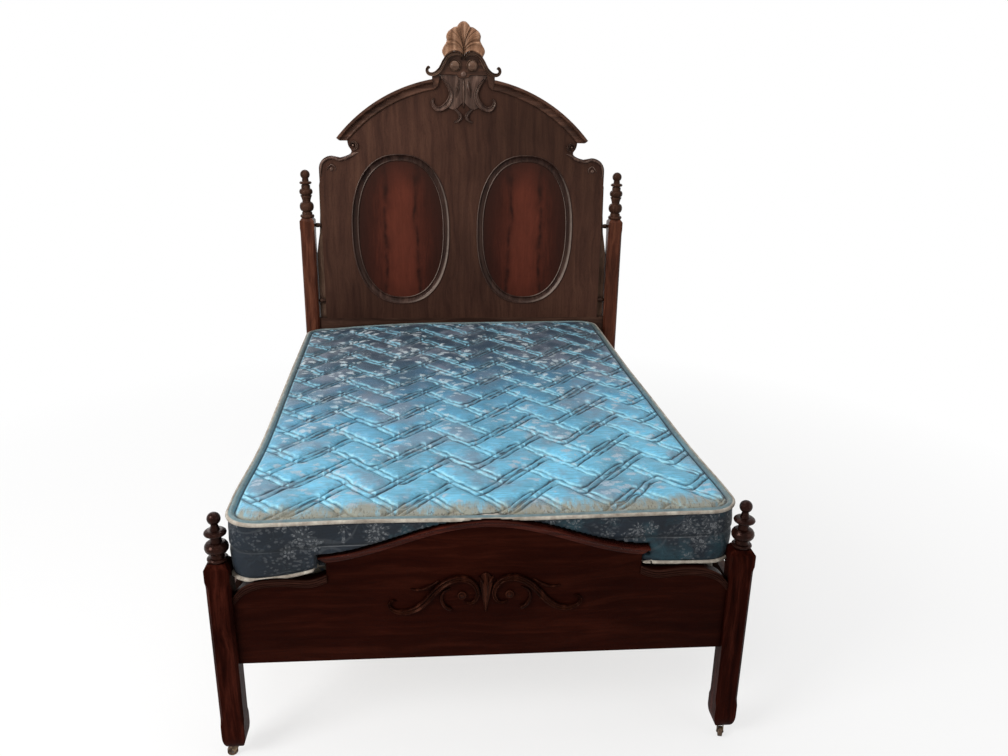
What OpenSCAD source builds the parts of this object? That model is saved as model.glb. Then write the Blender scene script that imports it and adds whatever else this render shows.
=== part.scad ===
// Carved four-post bed with an arched headboard, a box spring and a mattress.
// X runs across the bed, Y along it with the head at +Y, Z up from the floor. Millimetres.

/* [Mattress] */
// Width of the mattress over its piping
mattress_w = 1372; // [1200:1:1530]
// Length of the mattress over its piping
mattress_l = 1930; // [1880:1:2030]
// How much longer the mattress is than its place: its foot end bulges over the footboard
mattress_over = 50; // [0:1:60]
// Thickness of the mattress at its edge
mattress_t = 180; // [140:1:240]
// Radius of the mattress corners in plan
mattress_corner = 85; // [50:1:100]
// How far the middle of the mattress stands above its edge
mattress_crown = 12; // [0:1:25]
// Turn of the mattress on the bed, in degrees, as it lies
mattress_turn = 1.9; // [-1.9:0.05:1.9]
// How far the mattress lies to the left of the middle
mattress_left = 18; // [0:1:20]
// Gap between the mattress and the headboard, at the middle
mattress_gap = 25; // [25:1:50]
// Room that the mattress leaves round the footboard and the foot posts, which press into it
mattress_room = 3; // [2:0.5:5]
// Air between the mattress and the top of the box spring
mattress_air = 0.1; // [0.1:0.05:0.5]
// Thickness of the piping round the mattress
piping_d = 9; // [6:0.5:12]
// Depth of the sewn channels
channel_depth = 5; // [2:0.5:8]
// Reach of the zigzag in the sewn channels
zigzag_reach = 46; // [10:1:60]

/* [Box spring] */
// Height of the box spring
spring_h = 229; // [150:1:250]
// How much narrower and shorter than the mattress the box spring is, each side
spring_inset = 11; // [6:1:20]
// Radius of the box spring corners in plan
spring_corner = 45; // [30:1:60]

/* [Room round the mattress] */
// From the side of the mattress to a side rail's inner face
side_room = 19; // [14:1:40]
// From the end of the mattress to the footboard cap or the headboard
end_room = 17.5; // [15:0.5:40]

/* [Posts] */
// Side of a post's square section
post = 65; // [58:0.5:80]
// Height of a foot post's block above the floor
foot_post_z = 640; // [615:1:700]
// Height of a head post's block above the floor
head_post_z = 1274; // [1180:1:1400]
// Flat cut along each corner of a post, measured on the side
post_chamfer = 8; // [4:0.5:12]
// Length of the curved stop at each end of a corner cut
chamfer_stop = 26; // [12:1:40]
// Plain length above and below the corner cuts
chamfer_end = 34; // [20:1:60]
// Bevel round the top of a block
block_bevel = 13; // [6:0.5:15]
// Height of the rounded end of a leg
leg_taper_h = 46; // [30:1:70]
// How far the leg curves in on each side at its end
leg_taper = 17; // [10:0.5:18]

/* [Finials] */
// Height of a foot post's finial
foot_finial_h = 143; // [125:1:165]
// Height of a head post's finial
head_finial_h = 215; // [190:1:240]
// Largest radius of the turned beads
finial_r = 32; // [28:0.5:34]
// Radius of the ball on a foot finial
foot_ball_r = 18; // [14:0.5:22]
// Radius of the ball on a head finial
head_ball_r = 21.5; // [16:0.5:24]
// Radius of the spigot that holds a finial in its post
spigot_r = 9; // [6:0.5:12]
// Length of that spigot
spigot_l = 38; // [20:1:50]

/* [Headboard] */
// Thickness of the headboard panel
head_t = 22; // [18:1:30]
// How far the headboard lies behind the fronts of its posts
head_recess = 16; // [10:1:24]
// Gap between the panel's side and a post
board_gap = 33; // [22:1:45]
// Height of the panel's lower edge
board_z = 799; // [770:1:830]
// Height of the shoulders at the panel's sides
shoulder_z = 1552; // [1520:1:1560]
// Width of a shoulder, from the panel's side to the tip of the arch
shoulder_w = 86; // [70:1:110]
// Radius of the rounded corner of a shoulder
shoulder_r = 58; // [40:1:70]
// Height of the tips of the arch
arch_tip_z = 1631; // [1605:1:1660]
// Rise of the arch from its tips to its crown
arch_rise = 267; // [240:1:300]
// Width of the moulding along the arch
arch_band = 44; // [30:1:50]
// How far the arch moulding stands forward
arch_proud = 25; // [18:1:32]
// How far the arch moulding laps over the top edge of the panel
arch_lip = 6; // [4:0.5:9]
// Height of the bottom rail between the head posts
head_rail_h = 225; // [150:1:230]
// Width of the upright battens behind the panel
batten_w = 50; // [35:1:70]
// How far a batten shows beyond the panel's side
batten_show = 8; // [2:1:12]
// Thickness of the battens
batten_t = 22; // [16:1:26]
// Height of the top ends of the battens
batten_top_z = 1064; // [1000:1:1150]
// Radius of the pegs between the panel and its posts
peg_r = 6; // [4:0.5:8]
// How deep a peg sits in the wood at each end
peg_seat = 22; // [14:1:28]
// Height of the upper pegs
peg_upper_z = 1240; // [1150:1:1250]
// From the panel's lower edge up to the lower pegs
peg_low = 85; // [40:1:120]

/* [Ovals] */
// Gap between the two oval rings
oval_gap = 126; // [110:1:160]
// From an oval ring to the side of the panel
oval_margin = 137; // [125:1:160]
// From an oval ring to the lower edge of the panel
oval_low = 70; // [55:1:90]
// Height over an oval ring
oval_h = 694; // [640:1:710]
// Squareness of the ovals, 2 for an ellipse
oval_power = 2.35; // [2:0.05:2.6]
// Width of the ring moulding round an oval
ring_w = 32; // [24:0.5:38]
// How far the bead on the ring's outer edge stands forward
ring_proud = 3.5; // [2:0.5:6]
// How far that bead laps over the panel's face
ring_lip = 5; // [3:0.5:7]
// Depth of the veneered field below the panel's face
oval_sink = 12; // [8:0.5:13]
// Thickness of the veneered field
veneer_t = 4; // [3:0.5:5]

/* [Crest] */
// Width over the outer curls of the crest
crest_w = 346; // [310:1:370]
// Height of the crest above the crown of the arch
crest_h = 225; // [200:1:250]
// Thickness of the block that backs the crest, in front of the panel
crest_front = 12; // [8:1:16]
// Thickness of the block behind the panel's face, above the arch
crest_back = 18; // [12:1:22]
// Reach of the palmette's middle lobe from its root
palm_reach = 151; // [140:1:160]
// Relief of the palmette
palm_relief = 30; // [20:1:36]
// Relief of the crest scrolls
crest_relief = 22; // [14:1:28]
// Length of the drop below the crest
drop_l = 243; // [220:1:260]
// Relief of the drop and its scrolls
drop_relief = 16; // [10:1:20]
// Thickness of the apron behind the drop
apron_t = 5; // [3:0.5:8]

/* [Footboard] */
// Thickness of the footboard
foot_t = 25; // [20:1:30]
// How far the footboard lies behind the fronts of its posts
foot_recess = 20; // [16:1:26]
// Height of the footboard's lower edge and of the side rails
rail_z = 318; // [290:1:340]
// Height of the top of the cap at its ends
cap_end_z = 654; // [645:1:680]
// Rise of the cap from its ends to its middle
cap_rise = 98; // [70:1:120]
// Length of a shoulder, from a post to the end of the cap
foot_shoulder = 233; // [200:1:260]
// How far the cap stands forward of the board
cap_proud = 14; // [10:1:18]
// How far the cap stands behind the board
cap_behind = 3; // [1:0.5:5]
// Height of the cap over its lip and cove
cap_h = 24; // [18:1:30]
// How far the cap's end reaches past the board's upright edge
cap_over = 20; // [12:1:28]
// Height of the shoulder where it leaves that edge
foot_shoulder_z = 596; // [588:1:606]
// Height of the shoulder at the post
foot_corner_z = 533; // [510:1:560]
// Width of the reeded moulding along a shoulder
reed_w = 26; // [20:1:32]
// Relief of the reeded moulding
reed_proud = 7; // [4:0.5:10]
// Width over the tails of the footboard carving
carving_w = 556; // [500:2:620]
// Height of the footboard carving
carving_h = 126; // [110:1:140]
// Height of the lowest point of the footboard carving
carving_z = 463; // [440:1:470]
// Relief of the footboard carving
carving_relief = 12; // [8:0.5:13]

/* [Side rails] */
// Thickness of a side rail
rail_t = 25; // [20:1:32]
// Height of a side rail
rail_h = 190; // [150:1:200]
// Width and height of the ledger strip inside a rail
ledger = 22; // [18:1:30]
// Number of slats
slat_count = 9; // [8:1:12]
// Width of a slat
slat_w = 90; // [70:1:110]
// Thickness of a slat
slat_t = 19; // [15:1:24]

/* [Rail hooks] */
// Height of a hook plate
hook_plate_h = 130; // [100:1:140]
// Width of a hook plate
hook_plate_w = 18; // [14:1:20]
// Thickness of the hook plates
hook_plate_t = 2.5; // [2:0.1:3.5]
// Reach of a hook into the post
hook_reach = 12; // [9:0.5:15]
// Height of a hook
hook_h = 26; // [20:1:32]

/* [Casters] */
// Height of the leg's end above the floor
leg_z = 40; // [38:0.5:50]
// Radius of a caster wheel
wheel_r = 15; // [12:0.25:15.5]
// Width of a caster wheel
wheel_w = 13; // [10:0.5:15]
// From the swivel axis to the axle, level
trail = 14; // [11:0.5:16]
// Radius of the axle
axle_r = 2.2; // [1.8:0.1:2.8]
// Radius of the stem
stem_r = 4; // [3:0.25:5]
// Length of the stem inside its socket
stem_l = 36; // [26:1:44]
// Thickness of a fork arm
fork_t = 2.5; // [2:0.25:3]
// Radius of the socket plate under the leg
socket_r = 13; // [11:0.5:15]

/* [Fits] */
// Radial clearance of a shaft that turns
run_clear = 0.05; // [0.02:0.01:0.08]
// Radial clearance of a pin or tenon that stands still
still_clear = 0.05; // [0.02:0.01:0.2]
// Gap between a caster fork and its wheel
wheel_gap = 0.8; // [0.5:0.1:1.5]

/* [Hidden] */

// Places across the bed
rail_in = mattress_w / 2 + side_room;
post_x = rail_in + rail_t / 2;
post_in = post_x - post / 2;
frame_half = post_x + post / 2;
// Places along the bed
foot_depth = foot_recess + foot_t + cap_behind;
head_depth = post - head_recess;
bed_l = mattress_l - mattress_over;
frame_l = bed_l + 2 * end_room + foot_depth + head_depth;
post_y = frame_l / 2 - post / 2;
rail_y = post_y - post / 2;
board_y = frame_l / 2 - head_depth;
foot_y = foot_recess - frame_l / 2;
bed_mid_y = (foot_y + foot_t + cap_behind + board_y) / 2;
// Heights of the bedding
slat_z = rail_z + ledger;
spring_z = slat_z + slat_t;
spring_top = spring_z + spring_h;
mattress_z = spring_top + mattress_air;
// The arch of the headboard, from its chord and its rise
board_half = post_in - board_gap;
arch_half = board_half - shoulder_w;
arch_r = (arch_half * arch_half + arch_rise * arch_rise) / (2 * arch_rise);
arch_z = arch_tip_z + arch_rise - arch_r;
crown_z = arch_tip_z + arch_rise;
tip_angle = atan2(arch_tip_z - arch_z, arch_half);
panel_r = arch_r - arch_lip;
under_z = arch_tip_z - arch_lip * 2;
under_x = (under_z - arch_z) / tan(tip_angle);
// Ovals
oval_a = (board_half - oval_gap / 2 - oval_margin) / 2;
oval_b = oval_h / 2;
oval_x = oval_gap / 2 + oval_a;
oval_z = board_z + oval_low + oval_b;
// Crest
crest_half = crest_w / 2;
crest_foot_half = crest_half * 0.8;
crest_angle = asin(crest_foot_half / arch_r);
palm_z = crown_z + crest_h - palm_reach;
// Angle from upright to the palmette's lowest rib, on each side
palm_spread = 92;
// Footboard
cap_half = post_in - foot_shoulder;
carving_half = carving_w / 2;
// Joints of the frame and the rail hooks
tenon_l = post * 0.3;
tenon_t = 12;
tenon_edge = 12;
hook_w = 4;
hook_slack = 1;
hook_z = rail_z + rail_h / 2;
hook_place = hook_plate_h / 4;
// Casters
sleeve_wall = 2.5;
sleeve_r = stem_r + sleeve_wall;
sleeve_h = stem_l + 4;
socket_plate_t = 1.5;
plate_gap = 0.3;
fork_top_z = leg_z - socket_plate_t - plate_gap;
brow_z = 2 * wheel_r + 2 * wheel_gap;
arm_wall = 2.6;
arm_r = axle_r + arm_wall;
arm_in = wheel_w / 2 + wheel_gap;
// Longer than anything it cuts
big = 4 * frame_half;

// Point lists: a smooth curve through hand-set points, and a cubic arc
function blend(a, b, c, d, t) = 0.5 * (2 * b + (c - a) * t + (2 * a - 5 * b + 4 * c - d) * t * t
    + (3 * b - a - 3 * c + d) * t * t * t);
function smooth(p, n) = [
    for (k = [0 : len(p) - 2])
        for (i = [0 : n - 1])
            blend(p[max(k - 1, 0)], p[k], p[k + 1], p[min(k + 2, len(p) - 1)], i / n),
    p[len(p) - 1]
];
function arc(c, rx, rz, a0, a1, n) =
    [for (i = [0 : n]) let (a = a0 + (a1 - a0) * i / n) [c[0] + rx * cos(a), c[1] + rz * sin(a)]];
function mirrored(p) = concat(p, [for (i = [len(p) - 1 : -1 : 0]) [-p[i][0], p[i][1]]]);
// Points given as shares of a width and a height, set out from a corner
function set_out(p, x, z, w, h) = [for (q = p) [x + q[0] * w, z + q[1] * h]];
// Inward spiral that shrinks by the same share every turn
function curl(c, r, a0, turns, shrink, n) =
    [for (i = [0 : n]) let (t = i / n, q = r * pow(shrink, t * abs(turns)))
        [c[0] + q * cos(a0 + 360 * turns * t), c[1] + q * sin(a0 + 360 * turns * t)]];

// Stands a flat outline in X and Z upright, with its back at y and t thick towards the foot
module upright(y, t) {
    translate([0, y, 0]) rotate([90, 0, 0]) linear_extrude(height = t) children();
}

// Sections across a carved band, as shares of its width and its relief
HOLLOW = [[-0.5, 0], [-0.5, 0.5], [-0.32, 1], [0, 0.55], [0.32, 1], [0.5, 0.5], [0.5, 0]];
ROUND = [[-0.5, 0], [-0.42, 0.6], [-0.2, 0.95], [0.2, 0.95], [0.42, 0.6], [0.5, 0]];
REEDS = [[-0.5, 0], [-0.5, 0.7], [-0.36, 1], [-0.2, 0.55], [0, 0.9], [0.2, 0.45], [0.36, 0.75],
    [0.5, 0.3], [0.5, 0]];

// Carved band along a path in X and Z on a flat face at y, standing towards the foot
module band(path, y, widths, heights, section) {
    n = len(path);
    m = len(section);
    points = [for (i = [0 : n - 1])
        let (d = path[min(i + 1, n - 1)] - path[max(i - 1, 0)], s = i / (n - 1),
             u = d / norm(d), w = lookup(s, widths), h = lookup(s, heights))
        for (q = section)
            [path[i][0] - u[1] * q[0] * w, y - q[1] * h, path[i][1] + u[0] * q[0] * w]];
    sides = [for (i = [0 : n - 2]) for (j = [0 : m - 1])
        let (k = (j + 1) % m, a = i * m)
        each [[a + j, a + k, a + m + k], [a + j, a + m + k, a + m + j]]];
    ends = [[for (j = [m - 1 : -1 : 0]) j], [for (j = [0 : m - 1]) (n - 1) * m + j]];
    polyhedron(points, concat(sides, ends));
}

// Turned boss on a flat face at y
module boss(x, z, y, r, h) {
    translate([x, y, z]) rotate([90, 0, 0]) rotate_extrude($fn = 48)
        polygon(concat([[0, 0], [r, 0]], arc([0, h / 3], r, 2 * h / 3, 0, 80, 6),
            [[0, h / 3 + 2 * h / 3 * sin(80)]]));
}

// Posts
// Quarter round that takes the leg in at its foot, from the top down
function leg_curve(side) = [for (i = [0 : 8]) let (a = 90 * i / 8)
    [side * (post / 2 - leg_taper * (1 - cos(a))), leg_z + leg_taper_h * (1 - sin(a))]];
module post_side(top_z) {
    polygon(concat(
        leg_curve(1),
        [for (i = [8 : -1 : 0]) leg_curve(-1)[i]],
        [[-post / 2, top_z - block_bevel], [block_bevel * 0.7 - post / 2, top_z],
         [post / 2 - block_bevel * 0.7, top_z], [post / 2, top_z - block_bevel]]));
}
// Outline that takes a corner off along the post, with a curved stop at each end
module corner_cut(top_z) {
    corner = post / sqrt(2);
    depth = post_chamfer / sqrt(2);
    low = leg_z + leg_taper_h + chamfer_end;
    high = top_z - block_bevel - chamfer_end;
    run_out = depth * 0.1;
    stop = [for (i = [0 : 5])
        [corner + run_out - (depth + run_out) * sin(90 * i / 5), chamfer_stop * i / 5]];
    rotate([90, 0, 0]) linear_extrude(height = post, center = true)
        polygon(concat(
            [[corner + depth, low]],
            [for (q = stop) [q[0], low + q[1]]],
            [for (i = [5 : -1 : 0]) [stop[i][0], high - stop[i][1]]],
            [[corner + depth, high]]));
}
module post_body(top_z) {
    difference() {
        intersection() {
            rotate([90, 0, 0]) linear_extrude(height = post, center = true) post_side(top_z);
            rotate([0, 0, 90]) rotate([90, 0, 0])
                linear_extrude(height = post, center = true) post_side(top_z);
        }
        for (a = [45 : 90 : 315]) rotate([0, 0, a]) corner_cut(top_z);
        translate([0, 0, top_z - spigot_l]) cylinder(r = spigot_r + still_clear, h = big, $fn = 48);
        translate([0, 0, leg_z - big + sleeve_h + still_clear])
            cylinder(r = sleeve_r + still_clear, h = big, $fn = 48);
    }
}
// Pocket in a post's inner face that takes a hook keeper and the hooks
module keeper_pocket() {
    c = still_clear;
    translate([post_x, rail_y, hook_z]) {
        translate([-hook_plate_w / 2 - c, -hook_plate_t, -hook_plate_h / 2 - c])
            cube([hook_plate_w + 2 * c, 2 * hook_plate_t, hook_plate_h + 2 * c]);
        for (s = [-1, 1])
            translate([-hook_w / 2 - hook_slack, 0, s * hook_place - hook_h / 2 - 2 * hook_slack])
                cube([hook_w + 2 * hook_slack, hook_plate_t + hook_reach + hook_slack,
                    hook_h * 1.5 + 3 * hook_slack]);
    }
}
module foot_post() {
    difference() {
        translate([post_x, -post_y, 0]) post_body(foot_post_z);
        mirror([0, 1, 0]) keeper_pocket();
        translate([0, foot_y + foot_t / 2, 0]) foot_tenon(still_clear);
    }
}
module head_post() {
    difference() {
        translate([post_x, post_y, 0]) post_body(head_post_z);
        keeper_pocket();
        translate([0, board_y + head_t / 2, 0]) head_tenon(still_clear);
        pegs(peg_r + still_clear);
    }
}
module foot_tenon(c) {
    translate([-post_in - tenon_l - c, -tenon_t / 2 - c, rail_z + tenon_edge - c])
        cube([2 * (post_in + tenon_l + c), tenon_t + 2 * c,
            foot_corner_z - rail_z - 3 * tenon_edge + 2 * c]);
}
module head_tenon(c) {
    translate([-post_in - tenon_l - c, -tenon_t / 2 - c, board_z - head_rail_h + tenon_edge - c])
        cube([2 * (post_in + tenon_l + c), tenon_t + 2 * c, head_rail_h - 2 * tenon_edge + 2 * c]);
}
module head_post_left() { color("#5a2c1c") mirror([1, 0, 0]) head_post(); }
module head_post_right() { color("#5a2c1c") head_post(); }
module foot_post_left() { color("#5a2c1c") mirror([1, 0, 0]) foot_post(); }
module foot_post_right() { color("#5a2c1c") foot_post(); }

// Finials, turned about the post's axis from z = 0 at the block
function bead(z, half, r, neck) = arc([neck, z], r - neck, half, -90, 90, 8);
module turned(z0, outline) {
    translate([0, 0, z0]) {
        rotate_extrude($fn = 64) polygon(concat([[0, 0]], outline));
        translate([0, 0, -spigot_l + 1]) cylinder(r = spigot_r, h = spigot_l, $fn = 48);
    }
}
module foot_finial() {
    k = foot_finial_h / 143;
    neck_z = foot_finial_h - foot_ball_r;
    turned(foot_post_z, concat(
        [[finial_r * 0.72, 0]],
        bead(7 * k, 6 * k, finial_r * 0.88, finial_r * 0.62),
        bead(41 * k, 17 * k, finial_r, finial_r * 0.5),
        bead(84 * k, 9 * k, finial_r * 0.93, finial_r * 0.42),
        arc([0, neck_z], foot_ball_r, foot_ball_r, -62, 90, 10)));
}
module head_finial() {
    k = head_finial_h / 215;
    neck_z = head_finial_h - head_ball_r;
    turned(head_post_z, concat(
        [[finial_r * 0.72, 0]],
        bead(6 * k, 5 * k, finial_r * 0.85, finial_r * 0.62),
        smooth([[finial_r * 0.5, 16 * k], [finial_r * 0.72, 24 * k], [finial_r * 0.6, 36 * k]], 4),
        bead(58 * k, 17 * k, finial_r, finial_r * 0.55),
        smooth([[finial_r * 0.42, 80 * k], [finial_r * 0.5, 96 * k], [finial_r * 0.8, 110 * k]], 4),
        bead(124 * k, 10 * k, finial_r * 0.98, finial_r * 0.6),
        smooth([[finial_r * 0.4, 139 * k], [finial_r * 0.36, 148 * k]], 3),
        bead(160 * k, 5 * k, finial_r * 0.95, finial_r * 0.42),
        arc([0, neck_z], head_ball_r, head_ball_r, -66, 90, 10)));
}
module foot_finial_left() { color("#3a1a12") translate([-post_x, -post_y, 0]) foot_finial(); }
module foot_finial_right() { color("#3a1a12") translate([post_x, -post_y, 0]) foot_finial(); }
module head_finial_left() { color("#3a1a12") translate([-post_x, post_y, 0]) head_finial(); }
module head_finial_right() { color("#3a1a12") translate([post_x, post_y, 0]) head_finial(); }

// Headboard
// Right side of the panel below the arch, from the lower edge up to the volute
neck_x = arch_half * 0.89;
neck_z = (shoulder_z + under_z) / 2;
function shoulder_line() = concat(
    [[board_half, board_z]],
    arc([board_half - shoulder_r, shoulder_z - shoulder_r], shoulder_r, shoulder_r, 0, 90, 9),
    smooth([[arch_half - 10, shoulder_z - 7], [arch_half - 34, shoulder_z - 1],
        [neck_x + 4, neck_z - 22], [neck_x, neck_z - 9], [neck_x + 11, neck_z + 8],
        [neck_x + 16, neck_z + 26], [neck_x + 16, under_z]], 3),
    [[neck_x, under_z + 20]]);
module panel_outline() {
    polygon(mirrored(shoulder_line()));
    intersection() {
        translate([0, arch_z]) circle(r = panel_r, $fn = 180);
        polygon(mirrored([[under_x, under_z], [big, arch_z + big * tan(tip_angle)], [big, big]]));
    }
}
// Outline of an oval, set in from the ring's outer edge
oval_points = 52;
function oval(inset) = [for (i = [0 : oval_points - 1])
    let (t = 360 * i / oval_points, c = cos(t), s = sin(t))
    [oval_x + (oval_a - inset) * sign(c) * pow(abs(c), 2 / oval_power),
     oval_z + (oval_b - inset) * sign(s) * pow(abs(s), 2 / oval_power)]];
module headboard_panel() {
    color("#3b1d14") difference() {
        upright(board_y + head_t, head_t) panel_outline();
        for (s = [0, 1]) mirror([s, 0, 0])
            upright(board_y + oval_sink + veneer_t, big) polygon(oval(ring_lip - still_clear));
        pegs(peg_r + still_clear);
    }
}
module oval_veneer() {
    upright(board_y + oval_sink + veneer_t, veneer_t) polygon(oval(ring_lip));
}
module oval_veneer_left() { color("#6b1f14") mirror([1, 0, 0]) oval_veneer(); }
module oval_veneer_right() { color("#6b1f14") oval_veneer(); }
// Ring moulding: a bead on the panel's face, then a cove and a fillet down to the veneer
module oval_ring() {
    w = ring_w;
    low = -oval_sink;
    section = [[0, 0], [0, ring_proud * 0.6], [w * 0.05, ring_proud], [w * 0.13, ring_proud],
        [w * 0.19, 0], [w * 0.3, low * 0.4], [w * 0.5, low * 0.66], [w * 0.8, low * 0.8],
        [w * 0.86, low * 0.62], [w * 0.95, low * 0.62], [w, low * 0.8], [w, low],
        [ring_lip, low], [ring_lip, 0]];
    m = len(section);
    rims = [for (q = section) oval(q[0])];
    points = [for (i = [0 : oval_points - 1]) for (j = [0 : m - 1])
        [rims[j][i][0], board_y - section[j][1], rims[j][i][1]]];
    polyhedron(points, [for (i = [0 : oval_points - 1]) for (j = [0 : m - 1])
        let (k = (j + 1) % m, a = i * m, b = ((i + 1) % oval_points) * m)
        each [[a + j, b + k, a + k], [a + j, b + j, b + k]]]);
}
module oval_ring_left() { color("#4a2418") mirror([1, 0, 0]) oval_ring(); }
module oval_ring_right() { color("#4a2418") oval_ring(); }

// Arch moulding: cove and lip swept about the arch's centre, lapped over the panel's edge
module arch_moulding() {
    r0 = arch_r - arch_band;
    cove = arc([r0 + arch_band * 0.2, arch_proud * 0.86], arch_band * 0.46, arch_proud * 0.56,
        -90, 0, 6);
    intersection() {
        translate([0, board_y, arch_z]) rotate([90, 0, 0]) rotate([0, 0, tip_angle])
            rotate_extrude(angle = 90 - crest_angle - tip_angle, $fn = 180)
                polygon(concat(
                    [[r0, 0], [r0, arch_proud * 0.2], [r0 + arch_band * 0.06, arch_proud * 0.32],
                     [r0 + arch_band * 0.14, arch_proud * 0.32]],
                    cove,
                    [[arch_r - arch_band * 0.3, arch_proud * 0.92],
                     [arch_r - arch_band * 0.26, arch_proud],
                     [arch_r - 2, arch_proud], [arch_r, arch_proud - 2], [arch_r, -head_t],
                     [panel_r, -head_t], [panel_r, 0]]));
        // The tip is cut level with the underside of the arch
        translate([0, 0, under_z + big / 2]) cube(big, center = true);
    }
}
module arch_moulding_left() { color("#4a2618") mirror([1, 0, 0]) arch_moulding(); }
module arch_moulding_right() { color("#4a2618") arch_moulding(); }

// Shoulder carving: a volute under the arch, the lip along the shoulder, and a rosette
module shoulder_scroll() {
    eye_x = neck_x - 9;
    eye_z = under_z - 19;
    lip = smooth([[eye_x - 24, eye_z - 30], [neck_x - 9, neck_z - 24], [neck_x + 8, neck_z - 36],
        [arch_half - 26, shoulder_z - 13], [arch_half - 6, shoulder_z - 18],
        [board_half - shoulder_r, shoulder_z - 9],
        [board_half - shoulder_r * 0.34, shoulder_z - shoulder_r * 0.34 - 6],
        [board_half - 8, shoulder_z - shoulder_r], [board_half - 9, shoulder_z - shoulder_r - 34]], 4);
    band(lip, board_y, [[0, 5], [0.1, 14], [0.4, 12], [0.8, 12], [1, 4]],
        [[0, 4], [0.15, 9], [0.9, 8], [1, 3]], ROUND);
    band(curl([eye_x, eye_z], 21, -78, -0.86, 0.5, 18), board_y,
        [[0, 5], [0.3, 12], [1, 6]], [[0, 5], [0.3, 15], [1, 10]], HOLLOW);
    boss(eye_x, eye_z, board_y, 5.5, 13);
    band(smooth([[board_half - 34, shoulder_z - 66], [board_half - 42, shoulder_z - 52],
        [board_half - 58, shoulder_z - 38], [board_half - 74, shoulder_z - 52],
        [board_half - 72, shoulder_z - 68]], 4),
        board_y, [[0, 3], [0.5, 9], [1, 3]], [[0, 2], [0.5, 6], [1, 2]], ROUND);
    boss(board_half - 56, shoulder_z - 58, board_y, 8, 6);
}
module shoulder_scroll_left() { color("#4a2a1c") mirror([1, 0, 0]) shoulder_scroll(); }
module shoulder_scroll_right() { color("#4a2a1c") shoulder_scroll(); }

// Battens, bottom rail and pegs of the headboard
module headboard_batten() {
    translate([board_half + batten_show - batten_w, board_y + head_t, board_z - head_rail_h])
        cube([batten_w, batten_t, batten_top_z - board_z + head_rail_h]);
}
module headboard_batten_left() { color("#6b3a22") mirror([1, 0, 0]) headboard_batten(); }
module headboard_batten_right() { color("#6b3a22") headboard_batten(); }
module headboard_bottom_rail() {
    color("#5d2f1e") {
        translate([-post_in, board_y, board_z - head_rail_h])
            cube([2 * post_in, head_t, head_rail_h]);
        translate([0, board_y + head_t / 2, 0]) head_tenon(0);
    }
}
module pegs(r) {
    for (s = [0, 1]) mirror([s, 0, 0])
        for (z = [peg_upper_z, board_z + peg_low])
            translate([board_half - peg_seat, board_y + head_t / 2, z]) rotate([0, 90, 0])
                cylinder(r = r, h = board_gap + 2 * peg_seat, $fn = 48);
}
module headboard_pegs() { color("#6b3a22") pegs(peg_r); }

// Palmette: reach of the rim, then height of the ribs and grooves, against the angle of a rib
PALM_RIM = [[0, 1], [3.5, 0.993], [7, 0.957], [10, 0.92], [13, 0.877], [18, 0.885], [24, 0.868],
    [33, 0.841], [40, 0.78], [44.5, 0.695], [51, 0.662], [58.5, 0.655], [67.5, 0.66], [75, 0.642],
    [83, 0.583], [palm_spread, 0.54]];
PALM_RIBS = [[0, 0.8], [4, 0.95], [10, 0.8], [13, 0.1], [18, 0.75], [24, 0.6], [28.5, 1], [34, 0.7],
    [39, 0.9], [44.5, 0.05], [51, 0.7], [58.5, 0.95], [66, 0.8], [75, 0.9], [83, 0.6], [palm_spread, 0.1]];
PALM_BEND = [[0, 1.75], [45, 1.7], [palm_spread, 1.1]];
palm_ribs = [0, 3.5, 7, 10, 13, 18, 24, 28.5, 33, 37, 40, 44.5, 48, 51, 58.5, 67.5, 75, 83, palm_spread];
palm_spokes = concat([for (i = [len(palm_ribs) - 1 : -1 : 1]) -palm_ribs[i]], palm_ribs);
palm_steps = [0.12, 0.26, 0.4, 0.55, 0.7, 0.83, 0.93, 1];
// A rib leaves the root upright and bends out to its angle
function palm_point(a, t) = let (r = palm_reach * lookup(abs(a), PALM_RIM) * t,
        turn = a * pow(t, lookup(abs(a), PALM_BEND)))
    [r * sin(turn), palm_z + r * cos(turn)];
function palm_height(a, t) = palm_relief
    * (0.42 + 0.3 * sin(120 * t) + 0.32 * t * lookup(abs(a), PALM_RIBS)) * (t > 0.9 ? 1 - 3.4 * (t - 0.9) : 1);
// Once round the palmette: from the root out along the left rib, along the rim and back
function palm_outline() = concat([[0, palm_z]],
    [for (t = palm_steps) palm_point(-palm_spread, t)],
    [for (i = [1 : len(palm_spokes) - 1]) palm_point(palm_spokes[i], 1)],
    [for (j = [len(palm_steps) - 2 : -1 : 0]) palm_point(palm_spread, palm_steps[j])]);
module crest_palmette() {
    n = len(palm_spokes);
    m = len(palm_steps);
    back = board_y + crest_back / 3;
    root = n * m;
    behind = root + 1;
    front = concat([for (a = palm_spokes) for (t = palm_steps) let (q = palm_point(a, t))
        [q[0], board_y - palm_height(a, t), q[1]]], [[0, board_y - palm_height(0, 0), palm_z]]);
    cells = concat(
        [for (i = [0 : n - 2]) [root, i * m, (i + 1) * m]],
        [for (i = [0 : n - 2]) for (j = [0 : m - 2]) let (a = i * m + j)
            each [[a, a + 1, a + m + 1], [a, a + m + 1, a + m]]]);
    edge = concat([root], [for (j = [0 : m - 1]) j], [for (i = [1 : n - 1]) i * m + m - 1],
        [for (j = [m - 2 : -1 : 0]) (n - 1) * m + j]);
    e = len(edge);
    faces = concat(cells,
        [for (f = cells) [behind + f[0], behind + f[2], behind + f[1]]],
        [for (k = [0 : e - 1]) let (a = edge[k], b = edge[(k + 1) % e])
            each [[a, behind + a, behind + b], [a, behind + b, b]]]);
    color("#8a5a3a") polyhedron(concat(front, [for (q = front) [q[0], back, q[2]]]), faces);
}

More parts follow.
